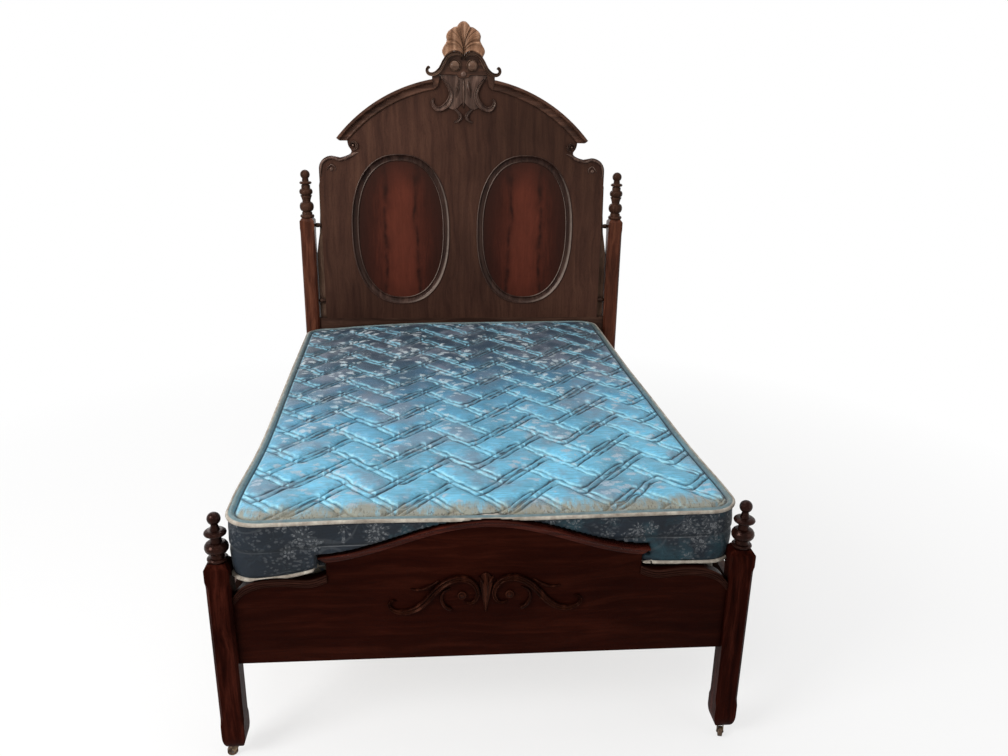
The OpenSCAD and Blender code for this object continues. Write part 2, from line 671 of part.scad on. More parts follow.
// Crest block: it backs the crest, laps over the top of the panel and takes the mouldings' ends
CREST_LIP = [[0.6, 0.027], [0.175, 0.027], [0.115, -0.018], [0, -0.036]];
module crest_outline() {
    r0 = arch_r - arch_band;
    tip = palm_point(palm_spread, 1);
    shares = [[0.51, 0.254], [0.565, 0.181], [0.62, 0.116], [0.7, 0.058], [0.8, 0.02]];
    difference() {
        polygon(mirrored(concat(
            [[0, palm_z + palm_reach * 0.3], [palm_reach * 0.4, palm_z + palm_reach * 0.25], tip],
            set_out(shares, 0, crown_z, crest_half, crest_h),
            [[arch_r * sin(crest_angle), arch_z + arch_r * cos(crest_angle)],
             [r0 * sin(crest_angle), arch_z + r0 * cos(crest_angle)],
             [crest_half * 0.65, crown_z - arch_band * 0.9]],
            set_out(CREST_LIP, 0, crown_z, crest_half, crest_h))));
        polygon(palm_outline());
    }
}
module crest_block() {
    color("#4d2a1a") {
        upright(board_y, crest_front) crest_outline();
        upright(board_y + crest_back, crest_back) difference() {
            union() {
                crest_outline();
                translate([-crest_half * 0.65, crown_z - arch_band * 0.9])
                    square([crest_half * 1.3, arch_band]);
            }
            translate([0, arch_z]) circle(r = panel_r, $fn = 180);
        }
    }
}

// Crest scrolls: an arm that arches over a volute and runs out to a curl
module crest_scroll() {
    face = board_y - crest_front;
    function place(p) = set_out(p, 0, crown_z, crest_half, crest_h);
    arm = [[0.04, 0.3], [0.075, 0.385], [0.187, 0.415], [0.311, 0.4], [0.42, 0.345], [0.5, 0.254],
        [0.55, 0.181], [0.605, 0.116], [0.69, 0.058], [0.79, 0.03], [0.885, 0.044], [0.925, 0.1],
        [0.895, 0.155], [0.845, 0.14]];
    eye = place([[0.225, 0.196]])[0];
    r = crest_relief;
    difference() {
        union() {
            band(smooth(place(arm), 2), face, [[0, 8], [0.15, 15], [0.45, 20], [0.65, 20], [0.85, 15], [1, 12]],
                [[0, r * 0.6], [0.3, r * 0.9], [0.6, r], [1, r * 0.7]], HOLLOW);
            band(concat(place([[0.27, 0.045], [0.31, 0.075]]), curl(eye, 24, -35, 0.95, 0.45, 20)), face,
                [[0, 6], [0.3, 12], [1, 7]], [[0, r * 0.4], [0.5, r * 0.9], [1, r * 0.7]], HOLLOW);
            boss(eye[0], eye[1], face, 13, r * 0.9);
        }
        upright(big / 2 + board_y, big) polygon(palm_outline());
    }
}
module crest_scroll_left() { color("#6b4530") mirror([1, 0, 0]) crest_scroll(); }
module crest_scroll_right() { color("#6b4530") crest_scroll(); }

// Drop below the crest: button, apron, middle leaf, and on each side a scroll, a leaf and a tail
module crest_drop() {
    function down(p) = smooth(set_out(p, 0, crown_z, crest_half, drop_l), 3);
    apron = [[0.566, -0.041], [0.44, -0.123], [0.345, -0.218], [0.324, -0.315], [0.37, -0.436],
        [0.45, -0.51], [0.347, -0.56], [0.249, -0.58], [0.162, -0.556], [0.07, -0.494], [0, -0.444]];
    middle = [[0, -0.04], [0, -0.2], [0, -0.4], [0, -0.55]];
    large = [[0.54, -0.04], [0.44, -0.123], [0.358, -0.218], [0.324, -0.315], [0.382, -0.449],
        [0.52, -0.543], [0.665, -0.57], [0.77, -0.516], [0.798, -0.436], [0.746, -0.383]];
    leaf = [[0.104, -0.06], [0.13, -0.15], [0.156, -0.235], [0.185, -0.37]];
    tail = [[0.249, -0.56], [0.133, -0.626], [0.081, -0.698], [0.133, -0.771], [0.249, -0.798]];
    r = drop_relief;
    lip = set_out(CREST_LIP, 0, crown_z, crest_half, crest_h);
    color("#5d3a2a") {
        upright(board_y, apron_t) polygon(mirrored(concat(
            [for (i = [len(lip) - 1 : -1 : 0]) lip[i]],
            set_out(apron, 0, crown_z, crest_half, drop_l))));
        band(down(middle), board_y, [[0, 8], [0.4, 20], [0.75, 13], [1, 4]],
            [[0, r * 0.7], [0.4, r], [1, r * 0.5]], HOLLOW);
        boss(0, crown_z + crest_h * 0.04, board_y - crest_front, 12.5, 10);
        for (s = [0, 1]) mirror([s, 0, 0]) {
            band(down(large), board_y, [[0, 9], [0.3, 16], [0.55, 27], [0.75, 21], [0.9, 13], [1, 8]],
                [[0, r * 0.6], [0.3, r * 0.9], [0.55, r], [1, r * 0.6]], HOLLOW);
            band(down(leaf), board_y, [[0, 6], [0.5, 20], [1, 7]], [[0, r * 0.5], [0.5, r * 0.9], [1, r * 0.5]], ROUND);
            band(down(tail), board_y, [[0, 7], [0.5, 17], [1, 8]], [[0, r * 0.4], [0.5, r * 0.8], [1, r * 0.4]], HOLLOW);
        }
    }
}

// Footboard
// Top line of the cap, and the shoulder's line from the upright edge to the post
function cap_line(x) = cap_end_z + cap_rise * (1 + cos(180 * min(abs(x) / (cap_half * 1.04), 1))) / 2;
cap_stations = concat(
    [-1, -0.985, -0.97],
    [for (i = [0 : 40]) (-1 + i / 20) * (1 - cap_over / cap_half)],
    [0.97, 0.985, 1]);
shoulder_drop = foot_shoulder_z - foot_corner_z;
edge_x = cap_half - cap_over;
function foot_shoulder_line() = smooth(set_out(
    [[0, 0], [0.1, -0.16], [0.2, -0.24], [0.34, -0.19], [0.48, -0.14], [0.65, -0.17],
     [0.78, -0.29], [0.9, -0.54], [1, -1]],
    edge_x, foot_shoulder_z, post_in - edge_x, shoulder_drop), 3);
// Moulding that follows a line in X and Z, with its section in upright planes
module run(line, sections) {
    n = len(line);
    m = len(sections[0]);
    points = [for (i = [0 : n - 1]) for (q = sections[i]) [line[i][0], q[0], line[i][1] + q[1]]];
    sides = [for (i = [0 : n - 2]) for (j = [0 : m - 1])
        let (k = (j + 1) % m, a = i * m)
        each [[a + j, a + k, a + m + k], [a + j, a + m + k, a + m + j]]];
    ends = [[for (j = [m - 1 : -1 : 0]) j], [for (j = [0 : m - 1]) (n - 1) * m + j]];
    polyhedron(points, concat(sides, ends));
}
cap_t = cap_h / 4;
module footboard_panel() {
    under = [for (s = cap_stations) if (abs(s) < 0.965) [s * cap_half, cap_line(s * cap_half) - cap_t]];
    right = foot_shoulder_line();
    color("#2e130d") {
        upright(foot_y + foot_t, foot_t) polygon(concat(
            [[-post_in, rail_z], [post_in, rail_z]],
            [for (i = [len(right) - 1 : -1 : 0]) right[i]],
            [for (i = [len(under) - 1 : -1 : 0]) under[i]],
            [for (q = right) [-q[0], q[1]]]));
        translate([0, foot_y + foot_t / 2, 0]) foot_tenon(0);
    }
}
module footboard_cap() {
    line = [for (s = cap_stations) [s * cap_half, cap_line(s * cap_half)]];
    fore = foot_y - cap_proud;
    rear = foot_y + foot_t + cap_behind;
    // The cove runs out to nothing over the last stretch at each end
    sections = [for (s = cap_stations)
        let (k = sqrt(max(0, min(1, (1 - abs(s)) * cap_half / cap_over))), d = (cap_h - cap_t) * k + 0.2)
        [[rear, 0], [fore + 2, 0], [fore, -1.5], [fore, -cap_t * 0.7], [fore + 1.5, -cap_t],
         [fore + cap_proud * 0.5, -cap_t - d * 0.22], [fore + cap_proud * 0.78, -cap_t - d * 0.55],
         [foot_y - 1.5, -cap_t - d], [foot_y, -cap_t - d], [foot_y, -cap_t], [rear, -cap_t]]];
    color("#5a2417") run(line, sections);
}
module footboard_reeding() {
    line = foot_shoulder_line();
    profile = [[0, 0], [0.6, 0], [1, -0.1], [0.6, -0.26], [0.95, -0.4], [0.5, -0.55], [0.8, -0.68],
        [0.35, -0.82], [0.5, -0.92], [0.1, -1], [0, -1]];
    color("#4a2317")
        run(line, [for (q = line) [for (w = profile) [foot_y - w[0] * reed_proud, w[1] * reed_w]]]);
}
module footboard_reeding_left() { mirror([1, 0, 0]) footboard_reeding(); }
module footboard_reeding_right() { footboard_reeding(); }

// Footboard carving: a large scroll with an inner curve, an eye and a feather on each side
module footboard_scroll() {
    function carve(p) = smooth(set_out(p, 0, carving_z, carving_half, carving_h), 3);
    main = [[0.216, 0.286], [0.158, 0.238], [0.105, 0.31], [0.08, 0.476], [0.105, 0.675],
        [0.173, 0.825], [0.281, 0.87], [0.396, 0.77], [0.504, 0.56], [0.594, 0.32], [0.691, 0.14],
        [0.813, 0.06], [0.914, 0.111], [0.957, 0.246], [0.928, 0.357], [0.885, 0.349]];
    inner = [[0.35, 0.63], [0.425, 0.53], [0.445, 0.36], [0.41, 0.18], [0.345, 0.09]];
    feather = [[0.46, 0.83], [0.568, 0.675], [0.665, 0.611], [0.748, 0.635]];
    r = carving_relief;
    color("#4a2418") {
        band(carve(main), foot_y, [[0, 4], [0.1, 11], [0.3, 17], [0.5, 20], [0.75, 17], [0.92, 9], [1, 4]],
            [[0, r * 0.4], [0.3, r], [0.8, r * 0.8], [1, r * 0.4]], HOLLOW);
        band(carve(inner), foot_y, [[0, 4], [0.6, 11], [1, 12]], [[0, r * 0.3], [1, r * 0.9]], ROUND);
        band(carve(feather), foot_y, [[0, 3], [0.4, 9], [1, 4]], [[0, r * 0.3], [0.5, r * 0.7],
            [1, r * 0.3]], ROUND);
        boss(carving_half * 0.238, carving_z + carving_h * 0.44, foot_y, 12, r * 0.7);
    }
}
module footboard_scroll_left() { mirror([1, 0, 0]) footboard_scroll(); }
module footboard_scroll_right() { footboard_scroll(); }
module footboard_leaf() {
    function carve(p) = smooth(set_out(p, 0, carving_z, carving_half, carving_h), 3);
    color("#4a2418") {
        band(carve([[0, 1], [0, 0.85], [0, 0.6], [0, 0.3], [0, 0]]), foot_y,
            [[0, 5], [0.2, 12], [0.7, 8], [1, 2]],
            [[0, carving_relief * 0.5], [0.3, carving_relief * 0.8], [1, carving_relief * 0.3]], HOLLOW);
        for (s = [0, 1]) mirror([s, 0, 0])
            band(carve([[0.034, 0.74], [0.05, 0.83], [0.072, 0.9]]), foot_y,
                [[0, 3], [0.6, 8], [1, 3]],
                [[0, carving_relief * 0.3], [0.6, carving_relief * 0.6], [1, carving_relief * 0.3]],
                ROUND);
    }
}

// Side rails, ledgers and slats
module each_rail_end() {
    for (sx = [0, 1]) for (sy = [0, 1]) mirror([sx, 0, 0]) mirror([0, sy, 0]) children();
}
module hook_plate(c) {
    translate([post_x - hook_plate_w / 2 - c, rail_y - hook_plate_t, hook_z - hook_plate_h / 2 - c])
        cube([hook_plate_w + 2 * c, hook_plate_t + c, hook_plate_h + 2 * c]);
}
module side_rail() {
    difference() {
        translate([rail_in, -rail_y, rail_z]) cube([rail_t, 2 * rail_y, rail_h]);
        for (sy = [0, 1]) mirror([0, sy, 0]) hook_plate(still_clear);
    }
}
module side_rail_left() { color("#5a2c1c") mirror([1, 0, 0]) side_rail(); }
module side_rail_right() { color("#5a2c1c") side_rail(); }
module ledger_strip() {
    translate([rail_in - ledger, spring_inset - rail_y, rail_z])
        cube([ledger, 2 * (rail_y - spring_inset), ledger]);
}
module ledger_left() { color("#9a6b44") mirror([1, 0, 0]) ledger_strip(); }
module ledger_right() { color("#9a6b44") ledger_strip(); }
module slats() {
    reach = rail_y - spring_inset - slat_w;
    color("#b08a5c") for (i = [0 : slat_count - 1])
        translate([hook_slack - rail_in, -reach + 2 * reach * i / (slat_count - 1) - slat_w / 2, slat_z])
            cube([2 * (rail_in - hook_slack), slat_w, slat_t]);
}
// Hooks on plates let into the rail's ends; each drops behind the keeper in its post
module rail_hooks() {
    reach = hook_plate_t + hook_reach;
    lap = hook_plate_t + still_clear;
    color("#3c3a38") each_rail_end() {
        hook_plate(0);
        for (s = [-1, 1])
            translate([post_x - hook_w / 2, rail_y, hook_z + s * hook_place])
                rotate([90, 0, 90]) linear_extrude(height = hook_w) polygon([
                    [-1, still_clear], [-1, hook_h / 2], [reach - 4, hook_h / 2], [reach, hook_h / 2 - 6],
                    [reach - 4, -hook_h / 2], [lap, -hook_h / 2], [lap, still_clear]]);
    }
}
module hook_keepers() {
    slot_w = hook_w + 2 * hook_slack;
    color("#3c3a38") each_rail_end() difference() {
        translate([post_x - hook_plate_w / 2, rail_y, hook_z - hook_plate_h / 2])
            cube([hook_plate_w, hook_plate_t, hook_plate_h]);
        for (s = [-1, 1])
            translate([post_x - slot_w / 2, rail_y - 1, hook_z + s * hook_place])
                cube([slot_w, hook_plate_t + 2, hook_h + 2 * hook_slack]);
    }
}

// Soft forms: a rounded block with piping, drawn-in sides and a crowned, channelled top
// Place of a share of the plan, with the corners rounded to r
function plan(fx, fy, a, b, r) =
    let (u = max(0, (abs(fx) * a - a + r) / r), v = max(0, (abs(fy) * b - b + r) / r),
         x = u * v > 0 ? a - r + r * u * sqrt(1 - v * v / 2) : abs(fx) * a,
         y = u * v > 0 ? b - r + r * v * sqrt(1 - u * u / 2) : abs(fy) * b)
    [sign(fx) * x, sign(fy) * y];
function stations(n, edge) = concat([-1, -1 + 0.45 * edge],
    [for (i = [0 : n]) (1 - edge) * (2 * i / n - 1)], [1 - 0.45 * edge, 1]);
module pad(a, b, r, z0, z1, crown, columns, rows, zigzag, depth) {
    xs = stations(columns, r / a);
    ys = stations(rows, r / b);
    nx = len(xs);
    ny = len(ys);
    p = piping_d;
    top = [for (j = [0 : ny - 1]) for (i = [0 : nx - 1])
        let (q = plan(xs[i], ys[j], a - p, b - p, r - p),
             inside = min(i, nx - 1 - i, j, ny - 1 - j) > 1 ? 1 : 0,
             side = i % 2 == 0 ? 1 : -1,
             room = min(1, (1 - abs(ys[j])) * b / (3 * zigzag + 1)),
             rise = crown * pow((1 - pow(xs[i], 4)) * (1 - pow(ys[j], 4)), 0.5))
        [q[0], q[1] + inside * side * room * zigzag,
         z1 + rise + inside * (j % 3 == 0 ? -depth : depth * 0.3)]];
    edge = concat(
        [for (i = [0 : nx - 1]) [i, 0]], [for (j = [1 : ny - 1]) [nx - 1, j]],
        [for (i = [nx - 2 : -1 : 0]) [i, ny - 1]], [for (j = [ny - 2 : -1 : 1]) [0, j]]);
    m = len(edge);
    rings = [[0.3, z1 + min(crown, p * 0.12)], [0, z1 - p * 0.5], [0.75, z1 - p * 1.15], [0.35, (z0 + z1) / 2],
        [0.75, z0 + p * 1.15], [0, z0 + p * 0.5], [1, z0]];
    sides = [for (g = rings) for (e = edge)
        let (q = plan(xs[e[0]], ys[e[1]], a - g[0] * p, b - g[0] * p, r - g[0] * p))
        [q[0], q[1], g[1]]];
    n0 = nx * ny;
    function at(k, i) = k < 0 ? edge[i % m][0] + nx * edge[i % m][1] : n0 + k * m + i % m;
    faces = concat(
        [for (j = [0 : ny - 2]) for (i = [0 : nx - 2]) let (c = i + nx * j)
            each [[c, c + nx, c + 1], [c + 1, c + nx, c + nx + 1]]],
        [for (k = [-1 : len(rings) - 2]) for (i = [0 : m - 1])
            each [[at(k, i), at(k, i + 1), at(k + 1, i)], [at(k, i + 1), at(k + 1, i + 1), at(k + 1, i)]]],
        [[for (i = [0 : m - 1]) at(len(rings) - 1, i)]]);
    polyhedron(concat(top, sides), faces);
}
module box_spring() {
    color("#8d8578") translate([0, bed_mid_y, 0])
        pad(mattress_w / 2 - spring_inset, bed_l / 2 - spring_inset, spring_corner,
            spring_z, spring_top, 0, 4, 6, 0, 0);
}
// The foot end of the mattress gives way to the footboard's outline and to the foot posts
module mattress() {
    c = mattress_room;
    back = foot_y + foot_t + cap_behind + c;
    wide = cap_half + c;
    shoulder = [for (q = foot_shoulder_line()) if (q[0] > wide) [q[0], q[1] + c]];
    top = [for (i = [8 : -1 : 0]) let (x = wide * i / 8) [x, cap_line(x * cap_half / wide) + c]];
    right = concat([for (i = [len(shoulder) - 1 : -1 : 0]) shoulder[i]], [[wide, shoulder[0][1]]], top);
    color("#4d93ad") difference() {
        translate([-mattress_left, board_y - mattress_gap - mattress_l / 2, 0])
            rotate([0, 0, mattress_turn])
                pad(mattress_w / 2, mattress_l / 2, mattress_corner, mattress_z,
                    mattress_z + mattress_t, mattress_crown, 8, 30, zigzag_reach, channel_depth);
        upright(back, back - foot_y + mattress_w / 8) polygon(concat(
            [[-post_in, mattress_z - c], [post_in, mattress_z - c]], right,
            [for (i = [len(right) - 2 : -1 : 0]) [-right[i][0], right[i][1]]]));
        for (s = [-1, 1])
            translate([s * post_x - post / 2 - c, -post_y - post / 2 - c, mattress_z - c])
                cube([post + 2 * c, post + 2 * c, mattress_t + mattress_crown + 2 * c]);
    }
}

// Casters: each has a socket in the leg, a horn that swivels, an axle and a wheel
// Side across, side along, and the way the wheel trails, in degrees
FOOT_LEFT = [-1, -1, 195];
FOOT_RIGHT = [1, -1, 255];
HEAD_LEFT = [-1, 1, 160];
HEAD_RIGHT = [1, 1, 20];
module at_caster(c) {
    translate([c[0] * post_x, c[1] * post_y, 0]) children();
}
module socket(c) {
    color("#4a4238") at_caster(c) difference() {
        union() {
            translate([0, 0, leg_z - socket_plate_t]) cylinder(r = socket_r, h = socket_plate_t, $fn = 64);
            translate([0, 0, leg_z - socket_plate_t])
                cylinder(r = sleeve_r, h = sleeve_h + socket_plate_t, $fn = 48);
        }
        cylinder(r = stem_r + run_clear, h = leg_z + sleeve_h - sleeve_wall / 2, $fn = 48);
    }
}
module horn(c) {
    brow = fork_top_z - brow_z;
    color("#4a4238") at_caster(c) rotate([0, 0, c[2]]) difference() {
        union() {
            translate([0, 0, brow_z]) cylinder(r = arm_in + fork_t, h = brow, $fn = 64);
            translate([0, 0, brow_z]) cylinder(r = stem_r, h = leg_z + stem_l - brow_z, $fn = 48);
            for (s = [-1, 1])
                translate([0, s * (arm_in + fork_t / 2) + fork_t / 2, 0])
                    rotate([90, 0, 0]) linear_extrude(height = fork_t) {
                        translate([trail, wheel_r]) circle(r = arm_r, $fn = 48);
                        polygon([[trail + arm_r, wheel_r], [trail * 0.75, brow_z + brow * 0.9],
                            [-arm_r, brow_z + brow * 0.9], [-arm_r, brow_z],
                            [trail - arm_r * 0.86, wheel_r - arm_r * 0.5]]);
                    }
        }
        translate([trail, 0, wheel_r]) rotate([90, 0, 0])
            cylinder(r = axle_r + still_clear, h = 4 * arm_in, center = true, $fn = 48);
    }
}
module axle(c) {
    head = 1.4;
    at_caster(c) rotate([0, 0, c[2]]) translate([trail, 0, wheel_r]) rotate([90, 0, 0]) {
        cylinder(r = axle_r, h = 2 * (arm_in + fork_t), center = true, $fn = 48);
        for (s = [0, 1]) mirror([0, 0, s]) translate([0, 0, arm_in + fork_t])
            rotate_extrude($fn = 48)
                polygon(concat([[0, 0]], arc([0, 0], axle_r + 1.3, head, 0, 90, 5)));
    }
}
module wheel(c) {
    half = wheel_w / 2;
    tread = 1.8;
    color("#2b2622") at_caster(c) rotate([0, 0, c[2]])
        translate([trail, 0, wheel_r]) rotate([90, 0, 0]) rotate_extrude($fn = 96)
            polygon(concat(
                [[axle_r + run_clear, -half], [wheel_r * 0.45, -half],
                 [wheel_r * 0.5, 0.8 - half], [wheel_r * 0.74, 0.8 - half]],
                arc([wheel_r - tread, tread - half], tread, tread, -90, 0, 4),
                arc([wheel_r - tread, half - tread], tread, tread, 0, 90, 4),
                [[wheel_r * 0.74, half - 0.8], [wheel_r * 0.5, half - 0.8],
                 [wheel_r * 0.45, half], [axle_r + run_clear, half]]));
}
module caster_socket_foot_left() { socket(FOOT_LEFT); }
module caster_socket_foot_right() { socket(FOOT_RIGHT); }
module caster_socket_head_left() { socket(HEAD_LEFT); }
module caster_socket_head_right() { socket(HEAD_RIGHT); }
module caster_horn_foot_left() { horn(FOOT_LEFT); }
module caster_horn_foot_right() { horn(FOOT_RIGHT); }
module caster_horn_head_left() { horn(HEAD_LEFT); }
module caster_horn_head_right() { horn(HEAD_RIGHT); }
module caster_wheel_foot_left() { wheel(FOOT_LEFT); }
module caster_wheel_foot_right() { wheel(FOOT_RIGHT); }
module caster_wheel_head_left() { wheel(HEAD_LEFT); }
module caster_wheel_head_right() { wheel(HEAD_RIGHT); }
module caster_axle_foot_left() { color("#6b6458") axle(FOOT_LEFT); }
module caster_axle_foot_right() { color("#6b6458") axle(FOOT_RIGHT); }
module caster_axle_head_left() { color("#6b6458") axle(HEAD_LEFT); }
module caster_axle_head_right() { color("#6b6458") axle(HEAD_RIGHT); }

head_post_left();
head_post_right();
head_finial_left();
head_finial_right();
headboard_panel();
headboard_batten_left();
headboard_batten_right();
headboard_bottom_rail();
headboard_pegs();
oval_veneer_left();
oval_veneer_right();
oval_ring_left();
oval_ring_right();
arch_moulding_left();
arch_moulding_right();
crest_block();
crest_palmette();
crest_scroll_left();
crest_scroll_right();
crest_drop();
shoulder_scroll_left();
shoulder_scroll_right();
foot_post_left();
foot_post_right();
foot_finial_left();
foot_finial_right();
footboard_panel();
footboard_cap();
footboard_reeding_left();
footboard_reeding_right();
footboard_scroll_left();
footboard_scroll_right();
footboard_leaf();
side_rail_left();
side_rail_right();
ledger_left();
ledger_right();
slats();
rail_hooks();
hook_keepers();
box_spring();
mattress();
caster_socket_foot_left();
caster_socket_foot_right();
caster_socket_head_left();
caster_socket_head_right();
caster_horn_foot_left();
caster_horn_foot_right();
caster_horn_head_left();
caster_horn_head_right();
caster_axle_foot_left();
caster_axle_foot_right();
caster_axle_head_left();
caster_axle_head_right();
caster_wheel_foot_left();
caster_wheel_foot_right();
caster_wheel_head_left();
caster_wheel_head_right();
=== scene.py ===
import math
import bpy
import numpy as np
from mathutils import Matrix, Vector
from mathutils.bvhtree import BVHTree


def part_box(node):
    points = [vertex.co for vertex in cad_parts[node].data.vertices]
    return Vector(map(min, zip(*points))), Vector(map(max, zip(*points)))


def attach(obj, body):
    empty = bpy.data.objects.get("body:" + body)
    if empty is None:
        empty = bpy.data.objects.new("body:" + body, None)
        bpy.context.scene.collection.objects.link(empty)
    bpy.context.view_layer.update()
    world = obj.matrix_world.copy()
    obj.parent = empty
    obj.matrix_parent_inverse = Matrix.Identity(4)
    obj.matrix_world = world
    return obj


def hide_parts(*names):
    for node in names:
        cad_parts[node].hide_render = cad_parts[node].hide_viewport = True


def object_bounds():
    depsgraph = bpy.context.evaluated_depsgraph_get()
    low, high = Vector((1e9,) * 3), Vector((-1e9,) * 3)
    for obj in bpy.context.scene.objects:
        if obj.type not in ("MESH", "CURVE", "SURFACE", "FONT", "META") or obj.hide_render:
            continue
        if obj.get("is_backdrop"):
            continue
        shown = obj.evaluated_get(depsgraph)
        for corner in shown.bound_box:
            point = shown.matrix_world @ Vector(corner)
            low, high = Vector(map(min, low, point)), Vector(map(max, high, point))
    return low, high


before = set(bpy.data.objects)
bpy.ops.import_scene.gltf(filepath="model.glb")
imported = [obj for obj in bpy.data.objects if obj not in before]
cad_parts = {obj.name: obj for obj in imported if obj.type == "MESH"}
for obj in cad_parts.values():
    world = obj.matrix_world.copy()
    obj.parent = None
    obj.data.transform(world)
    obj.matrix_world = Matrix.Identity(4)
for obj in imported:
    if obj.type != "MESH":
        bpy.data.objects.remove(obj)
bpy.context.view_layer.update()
print("bed frame loaded, nodes:", len(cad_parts))

mm = 0.001
# places on the bed in millimetres, as the frame has them
bed = {"postIn": 685.0, "boardY": 957.0, "footY": -986.0, "boardHalf": 652.0, "archHalf": 566.0,
       "shoulderZ": 1552.0, "shoulderR": 58.0, "tipZ": 1631.0, "crownZ": 1898.0}


# a mesh piece that rides on a body of the frame
def putMesh(name, verts, faces, materials, slot, faceSlots=None, body="frame"):
    mesh = bpy.data.meshes.new(name)
    mesh.from_pydata([tuple(v) for v in verts], [], faces)
    for mat in materials:
        mesh.materials.append(mat)
    if faceSlots is not None:
        mesh.polygons.foreach_set("material_index", np.asarray(faceSlots, np.int32))
    mesh.polygons.foreach_set("use_smooth", np.ones(len(mesh.polygons), bool))
    mesh.update()
    piece = bpy.data.objects.new(name, mesh)
    bpy.context.scene.collection.objects.link(piece)
    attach(piece, body)
    return piece


# node helpers
def add(tree, kind, **given):
    made = tree.nodes.new("ShaderNode" + kind)
    for key, value in given.items():
        if hasattr(made, key):
            setattr(made, key, value)
        else:
            made.inputs[key.replace("_", " ")].default_value = value
    return made


def plug(tree, value, socket):
    if isinstance(value, bpy.types.NodeSocket):
        tree.links.new(value, socket)
    else:
        socket.default_value = value


def maths(tree, work, a, b=0.0, clamp=False):
    made = tree.nodes.new("ShaderNodeMath")
    made.operation = work
    made.use_clamp = clamp
    plug(tree, a, made.inputs[0])
    plug(tree, b, made.inputs[1])
    return made.outputs[0]


def ramp(tree, value, stops, smooth=False):
    made = tree.nodes.new("ShaderNodeValToRGB")
    made.color_ramp.interpolation = "EASE" if smooth else "LINEAR"
    points = made.color_ramp.elements
    while len(points) < len(stops):
        points.new(0.5)
    for point, (place, colour) in zip(points, stops):
        point.position = place
        point.color = (*colour, 1) if len(colour) == 3 else colour
    plug(tree, value, made.inputs[0])
    return made.outputs[0]


def span(tree, value, low, high, outLow=0.0, outHigh=1.0):
    made = tree.nodes.new("ShaderNodeMapRange")
    plug(tree, value, made.inputs[0])
    for slot, number in zip((1, 2, 3, 4), (low, high, outLow, outHigh)):
        made.inputs[slot].default_value = number
    return made.outputs[0]


def blendColour(tree, share, a, b, how="MIX"):
    made = tree.nodes.new("ShaderNodeMix")
    made.data_type = "RGBA"
    made.blend_type = how
    plug(tree, share, made.inputs[0])
    plug(tree, a if isinstance(a, bpy.types.NodeSocket) else (*a, 1), made.inputs[6])
    plug(tree, b if isinstance(b, bpy.types.NodeSocket) else (*b, 1), made.inputs[7])
    return made.outputs[2]


def noise(tree, where, scale, detail=3.0, rough=0.5, warp=0.0):
    made = add(tree, "TexNoise", Scale=scale, Detail=detail, Roughness=rough, Distortion=warp)
    tree.links.new(where, made.inputs["Vector"])
    return made.outputs[0]


def stretched(tree, where, scale, turn=(0, 0, 0), shift=(0, 0, 0)):
    made = add(tree, "Mapping", Scale=scale, Rotation=turn, Location=shift)
    tree.links.new(where, made.inputs["Vector"])
    return made.outputs[0]


def newFinish(name, rough, specular=0.5, coat=0.0, coatRough=0.2, sheen=0.0, metal=0.0, tint=(1, 1, 1)):
    mat = bpy.data.materials.new(name)
    mat.use_nodes = True
    tree = mat.node_tree
    shader = tree.nodes["Principled BSDF"]
    shader.inputs["Roughness"].default_value = rough
    shader.inputs["Specular IOR Level"].default_value = specular
    shader.inputs["Coat Weight"].default_value = coat
    shader.inputs["Coat Roughness"].default_value = coatRough
    shader.inputs["Sheen Weight"].default_value = sheen
    shader.inputs["Metallic"].default_value = metal
    shader.inputs["Specular Tint"].default_value = (*tint, 1)
    where = tree.nodes.new("ShaderNodeTexCoord").outputs["Object"]
    return mat, tree, shader, where


def roughen(tree, shader, height, depth, strength=1.0):
    made = add(tree, "Bump", Strength=strength, Distance=depth)
    tree.links.new(height, made.inputs["Height"])
    tree.links.new(made.outputs[0], shader.inputs["Normal"])


